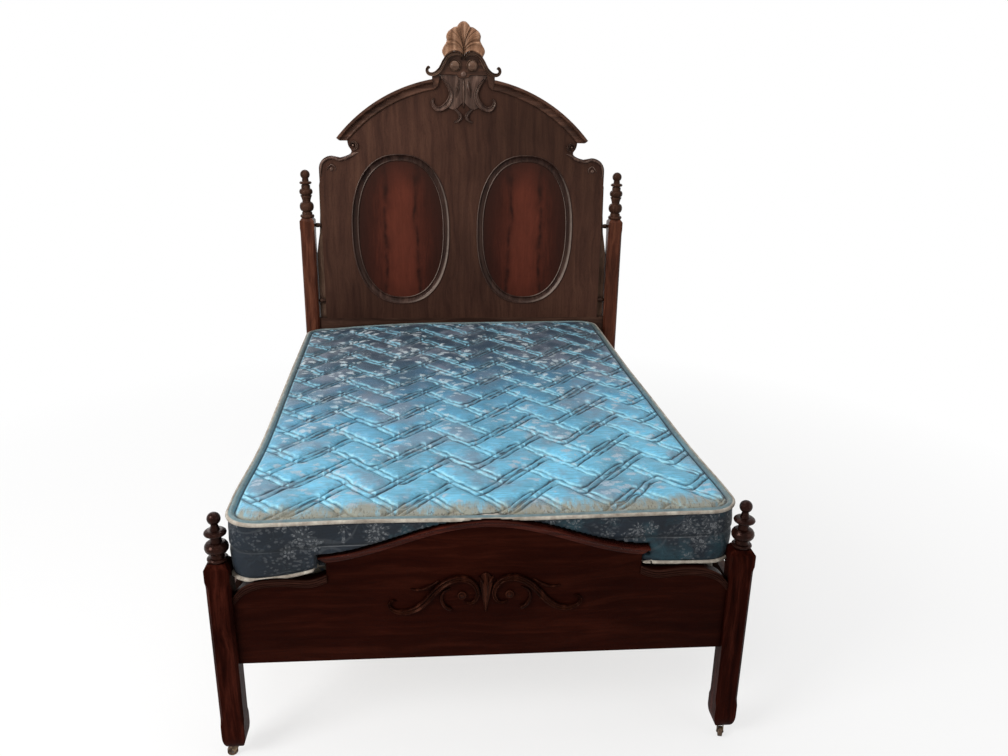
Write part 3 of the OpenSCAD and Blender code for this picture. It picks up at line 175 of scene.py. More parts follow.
# Polished wood: growth bands, pores, broad patches of tone, painted shade in the hollows, edges painted paler
# as wear and as painted highlight on the ridges, and on some woods a painted highlight on the slopes that
# face one way
def woodFinish(name, look):
    mat, tree, shader, where = newFinish(name, look.get("rough", 0.4), look.get("specular", 0.45),
                                         look.get("coat", 0.2), look.get("coatRough", 0.25),
                                         tint=look.get("tint", (1, 0.72, 0.58)))
    along = {"x": (0.07, 1, 1), "y": (1, 0.07, 1), "z": (1, 1, 0.07)}[look.get("grain", "z")]
    fine = {"x": (0.03, 1, 1), "y": (1, 0.03, 1), "z": (1, 1, 0.03)}[look.get("grain", "z")]
    drift = noise(tree, where, 3.1, 2)
    bent = add(tree, "VectorMath", operation="MULTIPLY_ADD")
    tree.links.new(drift, bent.inputs[0])
    bent.inputs[1].default_value = (0.05, 0.05, 0.05)
    tree.links.new(where, bent.inputs[2])
    bent = bent.outputs[0]
    bands = noise(tree, stretched(tree, bent, along), look.get("bands", 46), 6, 0.62, 0.5)
    tone = ramp(tree, bands, [(0.3, look["dark"]), (0.5, look["mid"]), (0.7, look["light"])])
    broad = noise(tree, stretched(tree, where, (1, 1, 1), shift=(3, 1, 7)), look.get("patch", 2.6), 3, 0.55)
    tone = blendColour(tree, 1.0, tone, ramp(tree, broad, [(0.3, (0.62,) * 3), (0.7, (1.3,) * 3)]),
                       "MULTIPLY")
    pores = noise(tree, stretched(tree, bent, fine), look.get("pores", 900), 2, 0.6)
    pit = span(tree, pores, 0.56, 0.68)
    tone = blendColour(tree, maths(tree, "MULTIPLY", pit, look.get("poreTone", 0.45)), tone,
                       tuple(c * 0.25 for c in look["dark"]))
    # painted shade: the wood is darkened where ambient occlusion finds hollows and parts that meet
    hollow = add(tree, "AmbientOcclusion", samples=4, Distance=look.get("hollow", 0.018))
    shade = span(tree, hollow.outputs["AO"], 0.25, 0.95)
    tone = blendColour(tree, maths(tree, "MULTIPLY", maths(tree, "SUBTRACT", 1.0, shade),
                                   look.get("hollowShade", 0.75)), tone, tuple(c * 0.22 for c in look["dark"]))
    # edges painted paler by pointiness: partly wear, partly painted highlight on the ridges
    if look.get("rubbedAndLit"):
        point = tree.nodes.new("ShaderNodeNewGeometry").outputs["Pointiness"]
        worn = span(tree, maths(tree, "ADD", point, maths(tree, "MULTIPLY", broad, 0.02)), 0.515, 0.56)
        tone = blendColour(tree, maths(tree, "MULTIPLY", worn, look["rubbedAndLit"]), tone, look["light"])
    tree.links.new(tone, shader.inputs["Base Color"])
    dull = maths(tree, "ADD", look.get("rough", 0.4) - 0.08,
                 maths(tree, "ADD", maths(tree, "MULTIPLY", bands, 0.12),
                       maths(tree, "MULTIPLY", pit, 0.25)))
    tree.links.new(dull, shader.inputs["Roughness"])
    skin = maths(tree, "ADD", maths(tree, "MULTIPLY", bands, 0.5), maths(tree, "MULTIPLY", pit, -1.0))
    if look.get("worn"):
        # painted highlight: the slopes that face left and up are painted paler, as light from the upper left
        # would leave them
        facing = add(tree, "VectorMath", operation="DOT_PRODUCT")
        tree.links.new(tree.nodes.new("ShaderNodeTexCoord").outputs["Normal"], facing.inputs[0])
        facing.inputs[1].default_value = look["litWay"]
        share = span(tree, facing.outputs["Value"], 0.3, 0.72, 0.0, 0.85)
        share = maths(tree, "MULTIPLY", share, span(tree, noise(tree, where, 30, 3), 0.3, 0.55, 0.7, 1.0))
        tone = blendColour(tree, share, tone, look["worn"])
        tree.links.new(tone, shader.inputs["Base Color"])
    if look.get("tooled"):
        marks = noise(tree, where, 160, 3, 0.6, 0.4)
        skin = maths(tree, "ADD", skin, maths(tree, "MULTIPLY", marks, look["tooled"]))
    roughen(tree, shader, skin, 0.0004, look.get("bump", 0.5))
    return mat


woods = {
    "turned": {"dark": (0.004, 0.0013, 0.001), "mid": (0.014, 0.0045, 0.003), "light": (0.045, 0.015, 0.01),
               "rough": 0.14, "specular": 0.13, "coat": 0.0, "bands": 30, "hollowShade": 0.3,
               "tint": (1, 0.55, 0.45)},
    "post": {"dark": (0.024, 0.0065, 0.0035), "mid": (0.064, 0.0185, 0.01), "light": (0.12, 0.04, 0.021),
             "rough": 0.36, "specular": 0.1, "coat": 0.02, "bands": 62, "hollowShade": 0.5},
    "panel": {"dark": (0.029, 0.0125, 0.009), "mid": (0.047, 0.0205, 0.0138),
              "light": (0.064, 0.029, 0.0185),
              "rough": 0.42, "specular": 0.1, "coat": 0.0, "bands": 40, "patch": 1.4},
    "arch": {"dark": (0.014, 0.005, 0.003), "mid": (0.048, 0.02, 0.012), "light": (0.11, 0.05, 0.032),
             "rough": 0.34, "specular": 0.2, "coat": 0.06, "grain": "x", "hollowShade": 0.6},
    "headTurned": {"dark": (0.012, 0.005, 0.003), "mid": (0.042, 0.018, 0.011),
                   "light": (0.09, 0.04, 0.025),
                   "rough": 0.34, "specular": 0.06, "coat": 0.01, "bands": 30, "hollowShade": 0.7, "hollow": 0.01},
    # the ring gets a painted highlight on its slopes that face left and up
    "ring": {"dark": (0.009, 0.0038, 0.0027), "mid": (0.024, 0.0105, 0.0075), "light": (0.05, 0.026, 0.019),
             "rough": 0.24, "specular": 0.16, "coat": 0.0, "hollowShade": 0.8, "rubbedAndLit": 0.25, "hollow": 0.01,
             "tint": (1, 0.8, 0.7), "worn": (0.235, 0.18, 0.15), "litWay": (-0.85, 0.0, 0.4)},
    "palmette": {"dark": (0.065, 0.028, 0.014), "mid": (0.2, 0.1, 0.056), "light": (0.4, 0.235, 0.15),
                 "rough": 0.42, "specular": 0.2, "coat": 0.04, "bands": 30, "tooled": 0.6, "rubbedAndLit": 0.4,
                 "hollowShade": 0.95,
                 "hollow": 0.014},
    "crest": {"dark": (0.018, 0.008, 0.005), "mid": (0.066, 0.033, 0.021), "light": (0.19, 0.11, 0.072),
              "rough": 0.3, "specular": 0.22, "coat": 0.06, "coatRough": 0.14, "tooled": 0.4,
              "rubbedAndLit": 0.25, "hollowShade": 0.9,
              "grain": "x", "tint": (1, 0.8, 0.66)},
    "carved": {"dark": (0.018, 0.007, 0.005), "mid": (0.06, 0.029, 0.021), "light": (0.2, 0.12, 0.09),
               "rough": 0.26, "specular": 0.26, "coat": 0.06, "coatRough": 0.1, "tooled": 0.3,
               "rubbedAndLit": 0.5, "hollowShade": 0.9,
               "tint": (1, 0.8, 0.66)},
    "footCarved": {"dark": (0.004, 0.0007, 0.0004), "mid": (0.013, 0.0028, 0.0015),
                   "light": (0.05, 0.0145, 0.0075),
                   "rough": 0.24, "specular": 0.06, "coat": 0.0, "tooled": 0.2, "rubbedAndLit": 0.55,
                   "hollowShade": 0.8, "tint": (1, 0.42, 0.26)},
    "cap": {"dark": (0.014, 0.0022, 0.0012), "mid": (0.038, 0.0065, 0.004), "light": (0.085, 0.017, 0.01),
            "rough": 0.28, "specular": 0.09, "coat": 0.02, "coatRough": 0.12, "grain": "x", "bands": 50,
            "tint": (1, 0.5, 0.35)},
    "footPanel": {"dark": (0.0095, 0.0014, 0.0008), "mid": (0.0155, 0.0026, 0.0013),
                  "light": (0.028, 0.0055, 0.0028),
                  "rough": 0.36, "specular": 0.03, "coat": 0.0, "coatRough": 0.18, "grain": "x",
                  "bands": 40,
                  "tint": (1, 0.42, 0.3)},
    "footPost": {"dark": (0.007, 0.0011, 0.0006), "mid": (0.018, 0.0031, 0.0017),
                 "light": (0.045, 0.0095, 0.0055),
                 "rough": 0.4, "specular": 0.015, "coat": 0.0, "bands": 62, "hollowShade": 0.5,
                 "tint": (1, 0.45, 0.35)},
    "reeded": {"dark": (0.005, 0.0013, 0.0008), "mid": (0.017, 0.0052, 0.0032),
               "light": (0.055, 0.02, 0.0135),
               "rough": 0.4, "specular": 0.03, "coat": 0.0, "grain": "x", "rubbedAndLit": 0.3, "hollow": 0.008,
               "tint": (1, 0.55, 0.45)},
    "rail": {"dark": (0.012, 0.003, 0.002), "mid": (0.038, 0.0105, 0.006), "light": (0.08, 0.025, 0.014),
             "rough": 0.42, "specular": 0.12, "coat": 0.0, "grain": "y", "bands": 50},
    "bottomRail": {"dark": (0.018, 0.008, 0.006), "mid": (0.04, 0.0195, 0.0135),
                   "light": (0.066, 0.034, 0.023),
                   "rough": 0.45, "specular": 0.08, "coat": 0.0, "grain": "x"},
    # the battens are painted paler than their wood, as painted light where they sit in shade between post and
    # panel
    "batten": {"dark": (0.05, 0.027, 0.018), "mid": (0.12, 0.068, 0.045), "light": (0.2, 0.12, 0.085),
               "rough": 0.6, "specular": 0.1, "coat": 0.0, "bands": 60},
    "peg": {"dark": (0.006, 0.003, 0.002), "mid": (0.02, 0.009, 0.006), "light": (0.06, 0.03, 0.02),
            "rough": 0.4, "specular": 0.15, "coat": 0.0, "bands": 30},
    "pine": {"dark": (0.3, 0.17, 0.075), "mid": (0.52, 0.34, 0.17), "light": (0.68, 0.48, 0.27),
             "rough": 0.62, "coat": 0.0, "grain": "x", "bands": 28, "poreTone": 0.15, "tint": (1, 1, 1)},
    "ledgerPine": {"dark": (0.26, 0.14, 0.06), "mid": (0.46, 0.29, 0.14), "light": (0.6, 0.42, 0.23),
                   "rough": 0.62, "coat": 0.0, "grain": "y", "bands": 28, "poreTone": 0.15,
                   "tint": (1, 1, 1)},
}
finish = {key: woodFinish(key + "_wood", look) for key, look in woods.items()}


# Matched flame veneer: a bright plume, two dark wavy streaks and a shaded rim, the same in both ovals
def veneerFinish(look):
    mat, tree, shader, where = newFinish("flame_veneer", look["rough"], 0.14, 0.03, 0.16,
                                         tint=(1, 0.6, 0.45))
    apart = add(tree, "SeparateXYZ")
    tree.links.new(where, apart.inputs[0])
    crosswise = maths(tree, "SUBTRACT", maths(tree, "ABSOLUTE", apart.outputs[0]), look["middleX"])
    up = maths(tree, "SUBTRACT", apart.outputs[2], look["middleZ"])
    face = add(tree, "CombineXYZ")
    tree.links.new(crosswise, face.inputs[0])
    tree.links.new(up, face.inputs[2])
    face = face.outputs[0]
    sway = maths(tree, "MULTIPLY", maths(tree, "SUBTRACT",
                 noise(tree, stretched(tree, face, (1, 1, 0.6)), 9, 2), 0.5), 0.09)
    leaned = maths(tree, "ADD", crosswise, sway)
    off = maths(tree, "DIVIDE", leaned, look["plumeHalf"])
    plume = maths(tree, "EXPONENT", maths(tree, "MULTIPLY", maths(tree, "MULTIPLY", off, off), -1.0))
    feather = noise(tree, stretched(tree, face, (1, 1, 0.16)), 55, 5, 0.6, 0.8)
    tone = ramp(tree, maths(tree, "ADD", maths(tree, "MULTIPLY", plume, 0.62),
                            maths(tree, "MULTIPLY", feather, 0.5)),
                [(0.16, look["dark"]), (0.5, look["mid"]), (0.92, look["light"])])
    fromMiddle = maths(tree, "SUBTRACT", maths(tree, "ABSOLUTE", leaned), look["streakX"])
    fromMiddle = maths(tree, "DIVIDE", fromMiddle, look["streakHalf"])
    streak = maths(tree, "EXPONENT",
                   maths(tree, "MULTIPLY", maths(tree, "MULTIPLY", fromMiddle, fromMiddle), -1.0))
    streak = maths(tree, "MULTIPLY", streak, span(tree, noise(tree, face, 14, 3), 0.35, 0.6, 0.25, 0.95))
    tone = blendColour(tree, streak, tone, look["streak"])
    rim = add(tree, "VectorMath", operation="LENGTH")
    tree.links.new(stretched(tree, face, (1 / 0.21, 0, 1 / 0.33)), rim.inputs[0])
    edge = span(tree, maths(tree, "ADD", rim.outputs["Value"],
                            maths(tree, "MULTIPLY", up, 0.45)), 0.62, 1.12, 0.0, 0.85)
    tone = blendColour(tree, edge, tone, look["rim"])
    pores = noise(tree, stretched(tree, face, (1, 1, 0.04)), 1100, 2, 0.6)
    pit = span(tree, pores, 0.56, 0.7)
    tone = blendColour(tree, maths(tree, "MULTIPLY", pit, 0.35), tone, look["streak"])
    tree.links.new(tone, shader.inputs["Base Color"])
    roughen(tree, shader, maths(tree, "ADD", feather, maths(tree, "MULTIPLY", pit, -1.0)), 0.0003, 0.4)
    return mat


finish["veneer"] = veneerFinish({
    "middleX": 0.289, "middleZ": 1.216, "plumeHalf": 0.13, "streakX": 0.072, "streakHalf": 0.012,
    "dark": (0.011, 0.003, 0.0022), "mid": (0.032, 0.0075, 0.0046), "light": (0.092, 0.021, 0.012),
    "streak": (0.012, 0.0032, 0.0024), "rim": (0.016, 0.006, 0.0045), "rough": 0.4})


# Metal: tarnished brass and black iron with rust in the pits
def metalFinish(name, look):
    mat, tree, shader, where = newFinish(name, look["rough"], 0.5, metal=look["metal"])
    spots = noise(tree, where, 70, 5, 0.65)
    tone = ramp(tree, spots, [(0.35, look["dark"]), (0.52, look["mid"]), (0.68, look["light"])])
    tree.links.new(tone, shader.inputs["Base Color"])
    tree.links.new(span(tree, spots, 0.3, 0.7, look["rough"] + 0.15, look["rough"] - 0.1),
                   shader.inputs["Roughness"])
    roughen(tree, shader, noise(tree, where, 420, 3), 0.0003, 0.4)
    return mat


finish["brass"] = metalFinish("caster_brass", {"rough": 0.45, "metal": 0.75, "dark": (0.03, 0.02, 0.013),
                                               "mid": (0.1, 0.068, 0.04), "light": (0.26, 0.19, 0.11)})
finish["wheelBrass"] = metalFinish("wheel_brass", {"rough": 0.5, "metal": 0.6, "dark": (0.02, 0.012, 0.008),
                                                   "mid": (0.065, 0.038, 0.022),
                                                   "light": (0.17, 0.11, 0.06)})
finish["iron"] = metalFinish("black_iron", {"rough": 0.55, "metal": 0.6, "dark": (0.05, 0.026, 0.016),
                                            "mid": (0.07, 0.065, 0.06), "light": (0.15, 0.14, 0.13)})
print("wood, veneer and metal finishes made")


# distance in millimetres to the nearest sewn line, from the rows that the mesh carries
def sewnGap(tree, name, look, wobble):
    at = add(tree, "Attribute", attribute_name=name).outputs["Fac"]
    at = maths(tree, "ADD", at, maths(tree, "MULTIPLY", maths(tree, "SUBTRACT", wobble, 0.5),
                                      look["wiggle"]))
    e = maths(tree, "FLOORED_MODULO", at, look["row"])
    near = maths(tree, "MINIMUM", e, maths(tree, "SUBTRACT", look["row"], e))
    for pair in look["pairs"]:
        near = maths(tree, "MINIMUM", near, maths(tree, "ABSOLUTE", maths(tree, "SUBTRACT", e, pair)))
    return maths(tree, "MULTIPLY", near, look["lean"])


# Damask: sprays of petals, leaves and small flecks woven in silver over a ground whose tone carries painted
# light, paler at the foot and darker at the head
def damaskFinish(name, look):
    mat, tree, shader, where = newFinish(name, look["rough"], look["specular"], sheen=look["sheen"])
    shader.inputs["Sheen Roughness"].default_value = 0.35
    shader.inputs["Sheen Tint"].default_value = (0.75, 0.85, 0.95, 1)
    apart = add(tree, "SeparateXYZ")
    tree.links.new(where, apart.inputs[0])
    # painted light: the ground is paler at the foot and on the right and darker towards the head and the
    # left, as the light falls on the bed
    back = maths(tree, "ADD", apart.outputs[1], maths(tree, "MULTIPLY", apart.outputs[0], -0.2))
    back = span(tree, maths(tree, "ADD", back, maths(tree, "MULTIPLY", noise(tree, where, 2.2, 3), 0.5)),
                -0.45, 0.85)
    ground = ramp(tree, back, look["ground"])
    mottle = noise(tree, where, 7, 4, 0.6)
    ground = blendColour(tree, 1.0, ground, ramp(tree, mottle, [(0.3, (0.66,) * 3), (0.7, (1.3,) * 3)]),
                         "MULTIPLY")
    weft = noise(tree, stretched(tree, where, (0.05, 1, 1)), 330, 3, 0.6)
    ground = blendColour(tree, 1.0, ground, ramp(tree, weft, [(0.35, (0.74,) * 3), (0.66, (1.24,) * 3)]),
                         "MULTIPLY")
    bent = add(tree, "VectorMath", operation="MULTIPLY_ADD")
    wobble = add(tree, "TexNoise", Scale=26.0, Detail=2.0)
    tree.links.new(where, wobble.inputs["Vector"])
    tree.links.new(wobble.outputs[1], bent.inputs[0])
    bent.inputs[1].default_value = (0.012, 0.012, 0.012)
    tree.links.new(where, bent.inputs[2])
    bent = bent.outputs[0]
    marks = []
    for scale, petals, size, seed in look["sprays"]:
        cell = add(tree, "TexVoronoi", Scale=scale, Randomness=0.75)
        tree.links.new(stretched(tree, bent, (1, 1, 1), shift=(seed, seed * 0.7, seed * 1.3)),
                       cell.inputs["Vector"])
        out = add(tree, "VectorMath", operation="SUBTRACT")
        tree.links.new(stretched(tree, bent, (1, 1, 1), shift=(seed, seed * 0.7, seed * 1.3)),
                       out.inputs[0])
        tree.links.new(cell.outputs["Position"], out.inputs[1])
        parts = add(tree, "SeparateXYZ")
        tree.links.new(out.outputs[0], parts.inputs[0])
        side = maths(tree, "ADD", parts.outputs[1],
                     maths(tree, "MULTIPLY", parts.outputs[2], look["upright"]))
        turn = maths(tree, "ARCTAN2", side, parts.outputs[0])
        petal = maths(tree, "ABSOLUTE", maths(tree, "SINE", maths(tree, "MULTIPLY", turn, petals / 2)))
        reach = maths(tree, "MULTIPLY_ADD", petal, 0.62)
        reach.node.inputs[2].default_value = 0.34
        far = maths(tree, "DIVIDE", cell.outputs["Distance"], size)
        petalFill = span(tree, maths(tree, "SUBTRACT", reach, far), 0.0, 0.12)
        marks.append(petalFill)
    dots = add(tree, "TexVoronoi", Scale=look["dotScale"], Randomness=0.9)
    tree.links.new(bent, dots.inputs["Vector"])
    rings = maths(tree, "ABSOLUTE", maths(tree, "SUBTRACT", dots.outputs["Distance"], look["dotRing"]))
    rings = span(tree, rings, 0.2, 0.06, 0.15, 1.0)
    woven = maths(tree, "MULTIPLY", maths(tree, "MAXIMUM", marks[0], marks[1]), rings)
    woven = maths(tree, "MULTIPLY", woven, look["sprayShare"])
    flecks = add(tree, "TexVoronoi", Scale=look["fleckScale"], Randomness=0.85)
    tree.links.new(stretched(tree, bent, (0.8, 1.35, 1.2), turn=(0, 0, 0.3)), flecks.inputs["Vector"])
    leafEdge = maths(tree, "MULTIPLY", maths(tree, "SUBTRACT", noise(tree, where, 110, 3, 0.7), 0.5), 0.75)
    fleck = span(tree, maths(tree, "ADD", flecks.outputs["Distance"], leafEdge), 0.4, 0.32)
    groups = span(tree, noise(tree, stretched(tree, where, (1, 1.3, 1), turn=(0, 0, -0.5), shift=(2, 0, 0)),
                              6.5, 3, 0.6),
                  0.48, 0.54)
    fleck = maths(tree, "MULTIPLY", maths(tree, "MULTIPLY", fleck, groups), look["fleckShare"])
    woven = maths(tree, "MAXIMUM", woven, fleck)
    woven = maths(tree, "MULTIPLY", woven, span(tree, noise(tree, where, 210, 3), 0.36, 0.52, 0.45, 1.0))
    if look["vine"]:
        vine = maths(tree, "ABSOLUTE", maths(tree, "SUBTRACT", noise(tree, where, 5.5, 1), 0.5))
        woven = maths(tree, "MAXIMUM", woven, span(tree, vine, 0.011, 0.005, 0.0, look["vine"]))
    # painted sheen: the silver figure is painted brighter towards the head
    silver = ramp(tree, back, look["silver"])
    blush = maths(tree, "MULTIPLY", span(tree, noise(tree, stretched(tree, where, (1, 1, 1),
                                                                     shift=(5, 2, 0)), 5.5, 4, 0.65), 0.5,
                                         0.62),
                  look["blushShare"])
    tone = blendColour(tree, blush, ground, look["blush"])
    tone = blendColour(tree, woven, tone, silver)
    gaps = [sewnGap(tree, key, look, wobble.outputs[0]) for key in ("rowA", "rowB")]
    # painted highlight: the ridges are painted brighter along one set of legs of the zigzag than along the
    # other
    legs = [add(tree, "Attribute", attribute_name=key).outputs["Fac"] for key in ("legA", "legB")]
    nearest = maths(tree, "LESS_THAN", gaps[0], gaps[1])
    leg = maths(tree, "ADD", maths(tree, "MULTIPLY", legs[0], nearest),
                maths(tree, "MULTIPLY", legs[1], maths(tree, "SUBTRACT", 1.0, nearest)))
    gap = maths(tree, "MINIMUM", gaps[0], gaps[1])
    seamGap = add(tree, "Attribute", attribute_name="seamGap").outputs["Fac"]
    gap = maths(tree, "MINIMUM", gap, seamGap)
    ply = maths(tree, "DIVIDE", gap, look["threadWide"])
    threadAndShade = maths(tree, "EXPONENT", maths(tree, "MULTIPLY", maths(tree, "MULTIPLY", ply, ply), -1.0))
    dip = maths(tree, "EXPONENT", maths(tree, "DIVIDE", gap, -look["dipWide"]))
    # painted highlight: the cloth on each side of a sewn line stands up and is painted bright
    ply = maths(tree, "DIVIDE", maths(tree, "SUBTRACT", gap, look["ridgeAt"]), look["ridgeWide"])
    ridgeHighlight = maths(tree, "EXPONENT", maths(tree, "MULTIPLY", maths(tree, "MULTIPLY", ply, ply), -1.0))
    rubbedAndLit = span(tree, noise(tree, where, 34, 3, 0.6), 0.38, 0.6, 0.25, 1.0)
    ridgeHighlight = maths(tree, "MULTIPLY", maths(tree, "MULTIPLY", ridgeHighlight, rubbedAndLit),
                  span(tree, leg, 0, 1, look["ridgeShare"] * 0.25, look["ridgeShare"]))
    tone = blendColour(tree, ridgeHighlight, tone, ramp(tree, back, look["ridgeHighlight"]))
    # the sewn lines are painted dark: thread colour and painted shade in the groove, darker along the legs
    # that get less painted highlight
    tone = blendColour(tree, maths(tree, "MULTIPLY", threadAndShade,
                                   span(tree, leg, 0, 1, look["seamShare"], look["seamShare"] * 0.62)),
                       tone, look["seam"])
    fold = add(tree, "Attribute", attribute_name="fold").outputs["Fac"]
    shade = maths(tree, "DIVIDE", maths(tree, "ADD", fold, -7.0), 7.0)
    shade = maths(tree, "EXPONENT", maths(tree, "MULTIPLY", maths(tree, "MULTIPLY", shade, shade), -1.0))
    tone = blendColour(tree, maths(tree, "MULTIPLY", shade, 0.55), tone, look["seam"])
    # painted highlight along the crest of the border's fold
    crest = maths(tree, "DIVIDE", fold, 1.7)
    crest = maths(tree, "EXPONENT", maths(tree, "MULTIPLY", maths(tree, "MULTIPLY", crest, crest), -1.0))
    crest = maths(tree, "MULTIPLY", crest, span(tree, noise(tree, where, 4.5, 2), 0.42, 0.6, 0.1, 0.7))
    tone = blendColour(tree, crest, tone, look["silver"][0][1])
    edge = add(tree, "Attribute", attribute_name="edge").outputs["Fac"]
    worn = ramp(tree, noise(tree, where, 45, 4, 0.6),
                [(0.35, tuple(0.55 * c for c in look["edge"])), (0.65, look["edge"])])
    tone = blendColour(tree, maths(tree, "MULTIPLY", edge, 0.85), tone, worn)
    age = add(tree, "Attribute", attribute_name="age").outputs["Fac"]
    streaks = noise(tree, stretched(tree, where, (1, 0.2, 1)), 60, 4, 0.65)
    tan = maths(tree, "MULTIPLY", span(tree, age, 0.0, 0.5),
                span(tree, maths(tree, "ADD", streaks, maths(tree, "MULTIPLY", age, 0.3)), 0.42, 0.74, 0.0,
                     0.9))
    dashes = noise(tree, stretched(tree, where, (1, 0.16, 1)), 210, 2)
    tone = blendColour(tree, tan, tone, look["tan"])
    tone = blendColour(tree, maths(tree, "MULTIPLY", span(tree, age, 0.1, 1.0, 0.0, 0.75),
                                   span(tree, dashes, 0.56, 0.66)),
                       tone, look["tanDark"])
    rim = maths(tree, "DIVIDE", seamGap, 2.4)
    rim = maths(tree, "EXPONENT", maths(tree, "MULTIPLY", maths(tree, "MULTIPLY", rim, rim), -1.0))
    tone = blendColour(tree, maths(tree, "MULTIPLY", rim, look["seamShare"] * 0.8), tone, look["seam"])
    tree.links.new(tone, shader.inputs["Base Color"])
    warp = add(tree, "TexWave", Scale=430.0, Distortion=0.6, bands_direction="X")
    tree.links.new(where, warp.inputs["Vector"])
    cross = add(tree, "TexWave", Scale=430.0, Distortion=0.6, bands_direction="Y")
    tree.links.new(where, cross.inputs["Vector"])
    weave = maths(tree, "MULTIPLY", maths(tree, "ADD", warp.outputs["Fac"], cross.outputs["Fac"]), 0.4)
    pucker = maths(tree, "MULTIPLY", noise(tree, where, 62, 3, 0.55),
                   maths(tree, "ADD", 1.6, maths(tree, "MULTIPLY", dip, 3.0)))
    skin = maths(tree, "ADD", maths(tree, "ADD", weave, maths(tree, "MULTIPLY", woven, 1.2)), pucker)
    skin = maths(tree, "SUBTRACT", skin, maths(tree, "MULTIPLY", dip, look["dip"]))
    roughen(tree, shader, skin, 0.0007, 0.8)
    tree.links.new(span(tree, woven, 0, 1, look["rough"] + 0.06, look["rough"] - 0.12),
                   shader.inputs["Roughness"])
    return mat


# the ground runs from a pale foot to a dark head as painted light; the silver and ridge ramps carry painted
# sheen and painted highlight
finish["damaskTop"] = damaskFinish("damask_top", {
    "ground": [(0.0, (0.13, 0.44, 0.63)), (0.35, (0.075, 0.285, 0.44)), (0.6, (0.036, 0.125, 0.21)),
               (0.85, (0.019, 0.045, 0.076)),
               (1.0, (0.017, 0.038, 0.062))],
    "silver": [(0.0, (0.38, 0.47, 0.56)), (0.45, (0.42, 0.52, 0.58)), (0.7, (0.5, 0.59, 0.63)),
               (1.0, (0.54, 0.61, 0.64))],
    "sprays": [(8.0, 5, 0.3, 0.0), (13.0, 6, 0.3, 4.2)], "sprayShare": 0.4, "upright": 0.0,
                                                  "dotScale": 95.0, "dotRing": 0.2,
    "fleckScale": 27.0, "fleckShare": 0.9, "vine": 0.0, "blush": (0.15, 0.17, 0.22), "blushShare": 0.6,
    "seam": (0.01, 0.026, 0.04), "seamShare": 0.95, "threadWide": 3.2, "dipWide": 7.0, "dip": 15.0,
    "ridgeHighlight": [(0.0, (0.36, 0.72, 0.84)), (0.5, (0.26, 0.58, 0.7)), (1.0, (0.2, 0.46, 0.58))],
                                                  "ridgeAt": 6.0,
    "ridgeWide": 3.2, "ridgeShare": 0.95,
    "row": 166.0, "pairs": [32.0], "lean": 0.72, "wiggle": 22.0,
    "tan": (0.26, 0.235, 0.165), "tanDark": (0.055, 0.04, 0.028), "edge": (0.14, 0.18, 0.165), "rough": 0.4,
                                                  "specular": 0.5, "sheen": 0.12})
finish["damaskSide"] = damaskFinish("damask_side", {
    "ground": [(0.0, (0.005, 0.0095, 0.016)), (0.5, (0.0065, 0.013, 0.021)), (1.0, (0.0085, 0.013, 0.018))],
    "silver": [(0.0, (0.17, 0.18, 0.19)), (1.0, (0.17, 0.175, 0.175))],
    "sprays": [(10.0, 9, 0.4, 1.0), (13.0, 6, 0.34, 3.1)], "sprayShare": 0.8, "upright": 1.0,
                                                    "dotScale": 120.0, "dotRing": 0.3,
    "fleckScale": 90.0, "fleckShare": 0.25, "vine": 0.12, "blush": (0.014, 0.05, 0.066), "blushShare": 0.8,
    "seam": (0.002, 0.005, 0.008), "seamShare": 0.35, "threadWide": 1.6, "dipWide": 6.0, "dip": 4.0,
    "ridgeHighlight": [(0.0, (0.05, 0.075, 0.09)), (1.0, (0.05, 0.075, 0.09))], "ridgeAt": 5.0, "ridgeWide": 2.0,
    "ridgeShare": 0.5, "row": 150.0, "pairs": [], "lean": 0.7, "wiggle": 90.0,
    "tan": (0.2, 0.14, 0.1), "tanDark": (0.05, 0.03, 0.02), "edge": (0.05, 0.085, 0.09), "rough": 0.5,
    "specular": 0.25, "sheen": 0.1})


# Plain woven cloth for the piping and the ticking, with thin stripes where they are asked for
def clothFinish(name, look):
    mat, tree, shader, where = newFinish(name, look["rough"], 0.3, sheen=0.15)
    mottle = noise(tree, where, look.get("mottle", 14), 4, 0.6)
    tone = ramp(tree, mottle, [(0.32, look["dark"]), (0.52, look["mid"]), (0.7, look["light"])])
    if look.get("stripes"):
        line = add(tree, "TexWave", Scale=look["stripes"], bands_direction=look["stripeWay"],
                   wave_profile="SIN")
        tree.links.new(where, line.inputs["Vector"])
        tone = blendColour(tree, span(tree, line.outputs["Fac"], 0.9, 0.96, 0, 0.8), tone, look["stripe"])
    weave = add(tree, "TexVoronoi", Scale=900.0)
    tree.links.new(where, weave.inputs["Vector"])
    tree.links.new(tone, shader.inputs["Base Color"])
    roughen(tree, shader, maths(tree, "ADD", weave.outputs["Distance"],
                                maths(tree, "MULTIPLY", mottle, 1.5)), 0.0006, 0.6)
    return mat


finish["piping"] = clothFinish("piping_cloth", {"dark": (0.2, 0.165, 0.13), "mid": (0.34, 0.3, 0.25),
                                                "light": (0.5, 0.46, 0.39), "rough": 0.7, "mottle": 40})
finish["ticking"] = clothFinish("spring_ticking", {"dark": (0.42, 0.38, 0.31), "mid": (0.56, 0.52, 0.44),
    "light": (0.66, 0.63, 0.55), "rough": 0.8, "stripes": 9.0, "stripeWay": "DIAGONAL",
                                                   "stripe": (0.1, 0.14, 0.22)})
print("cloth finishes made")


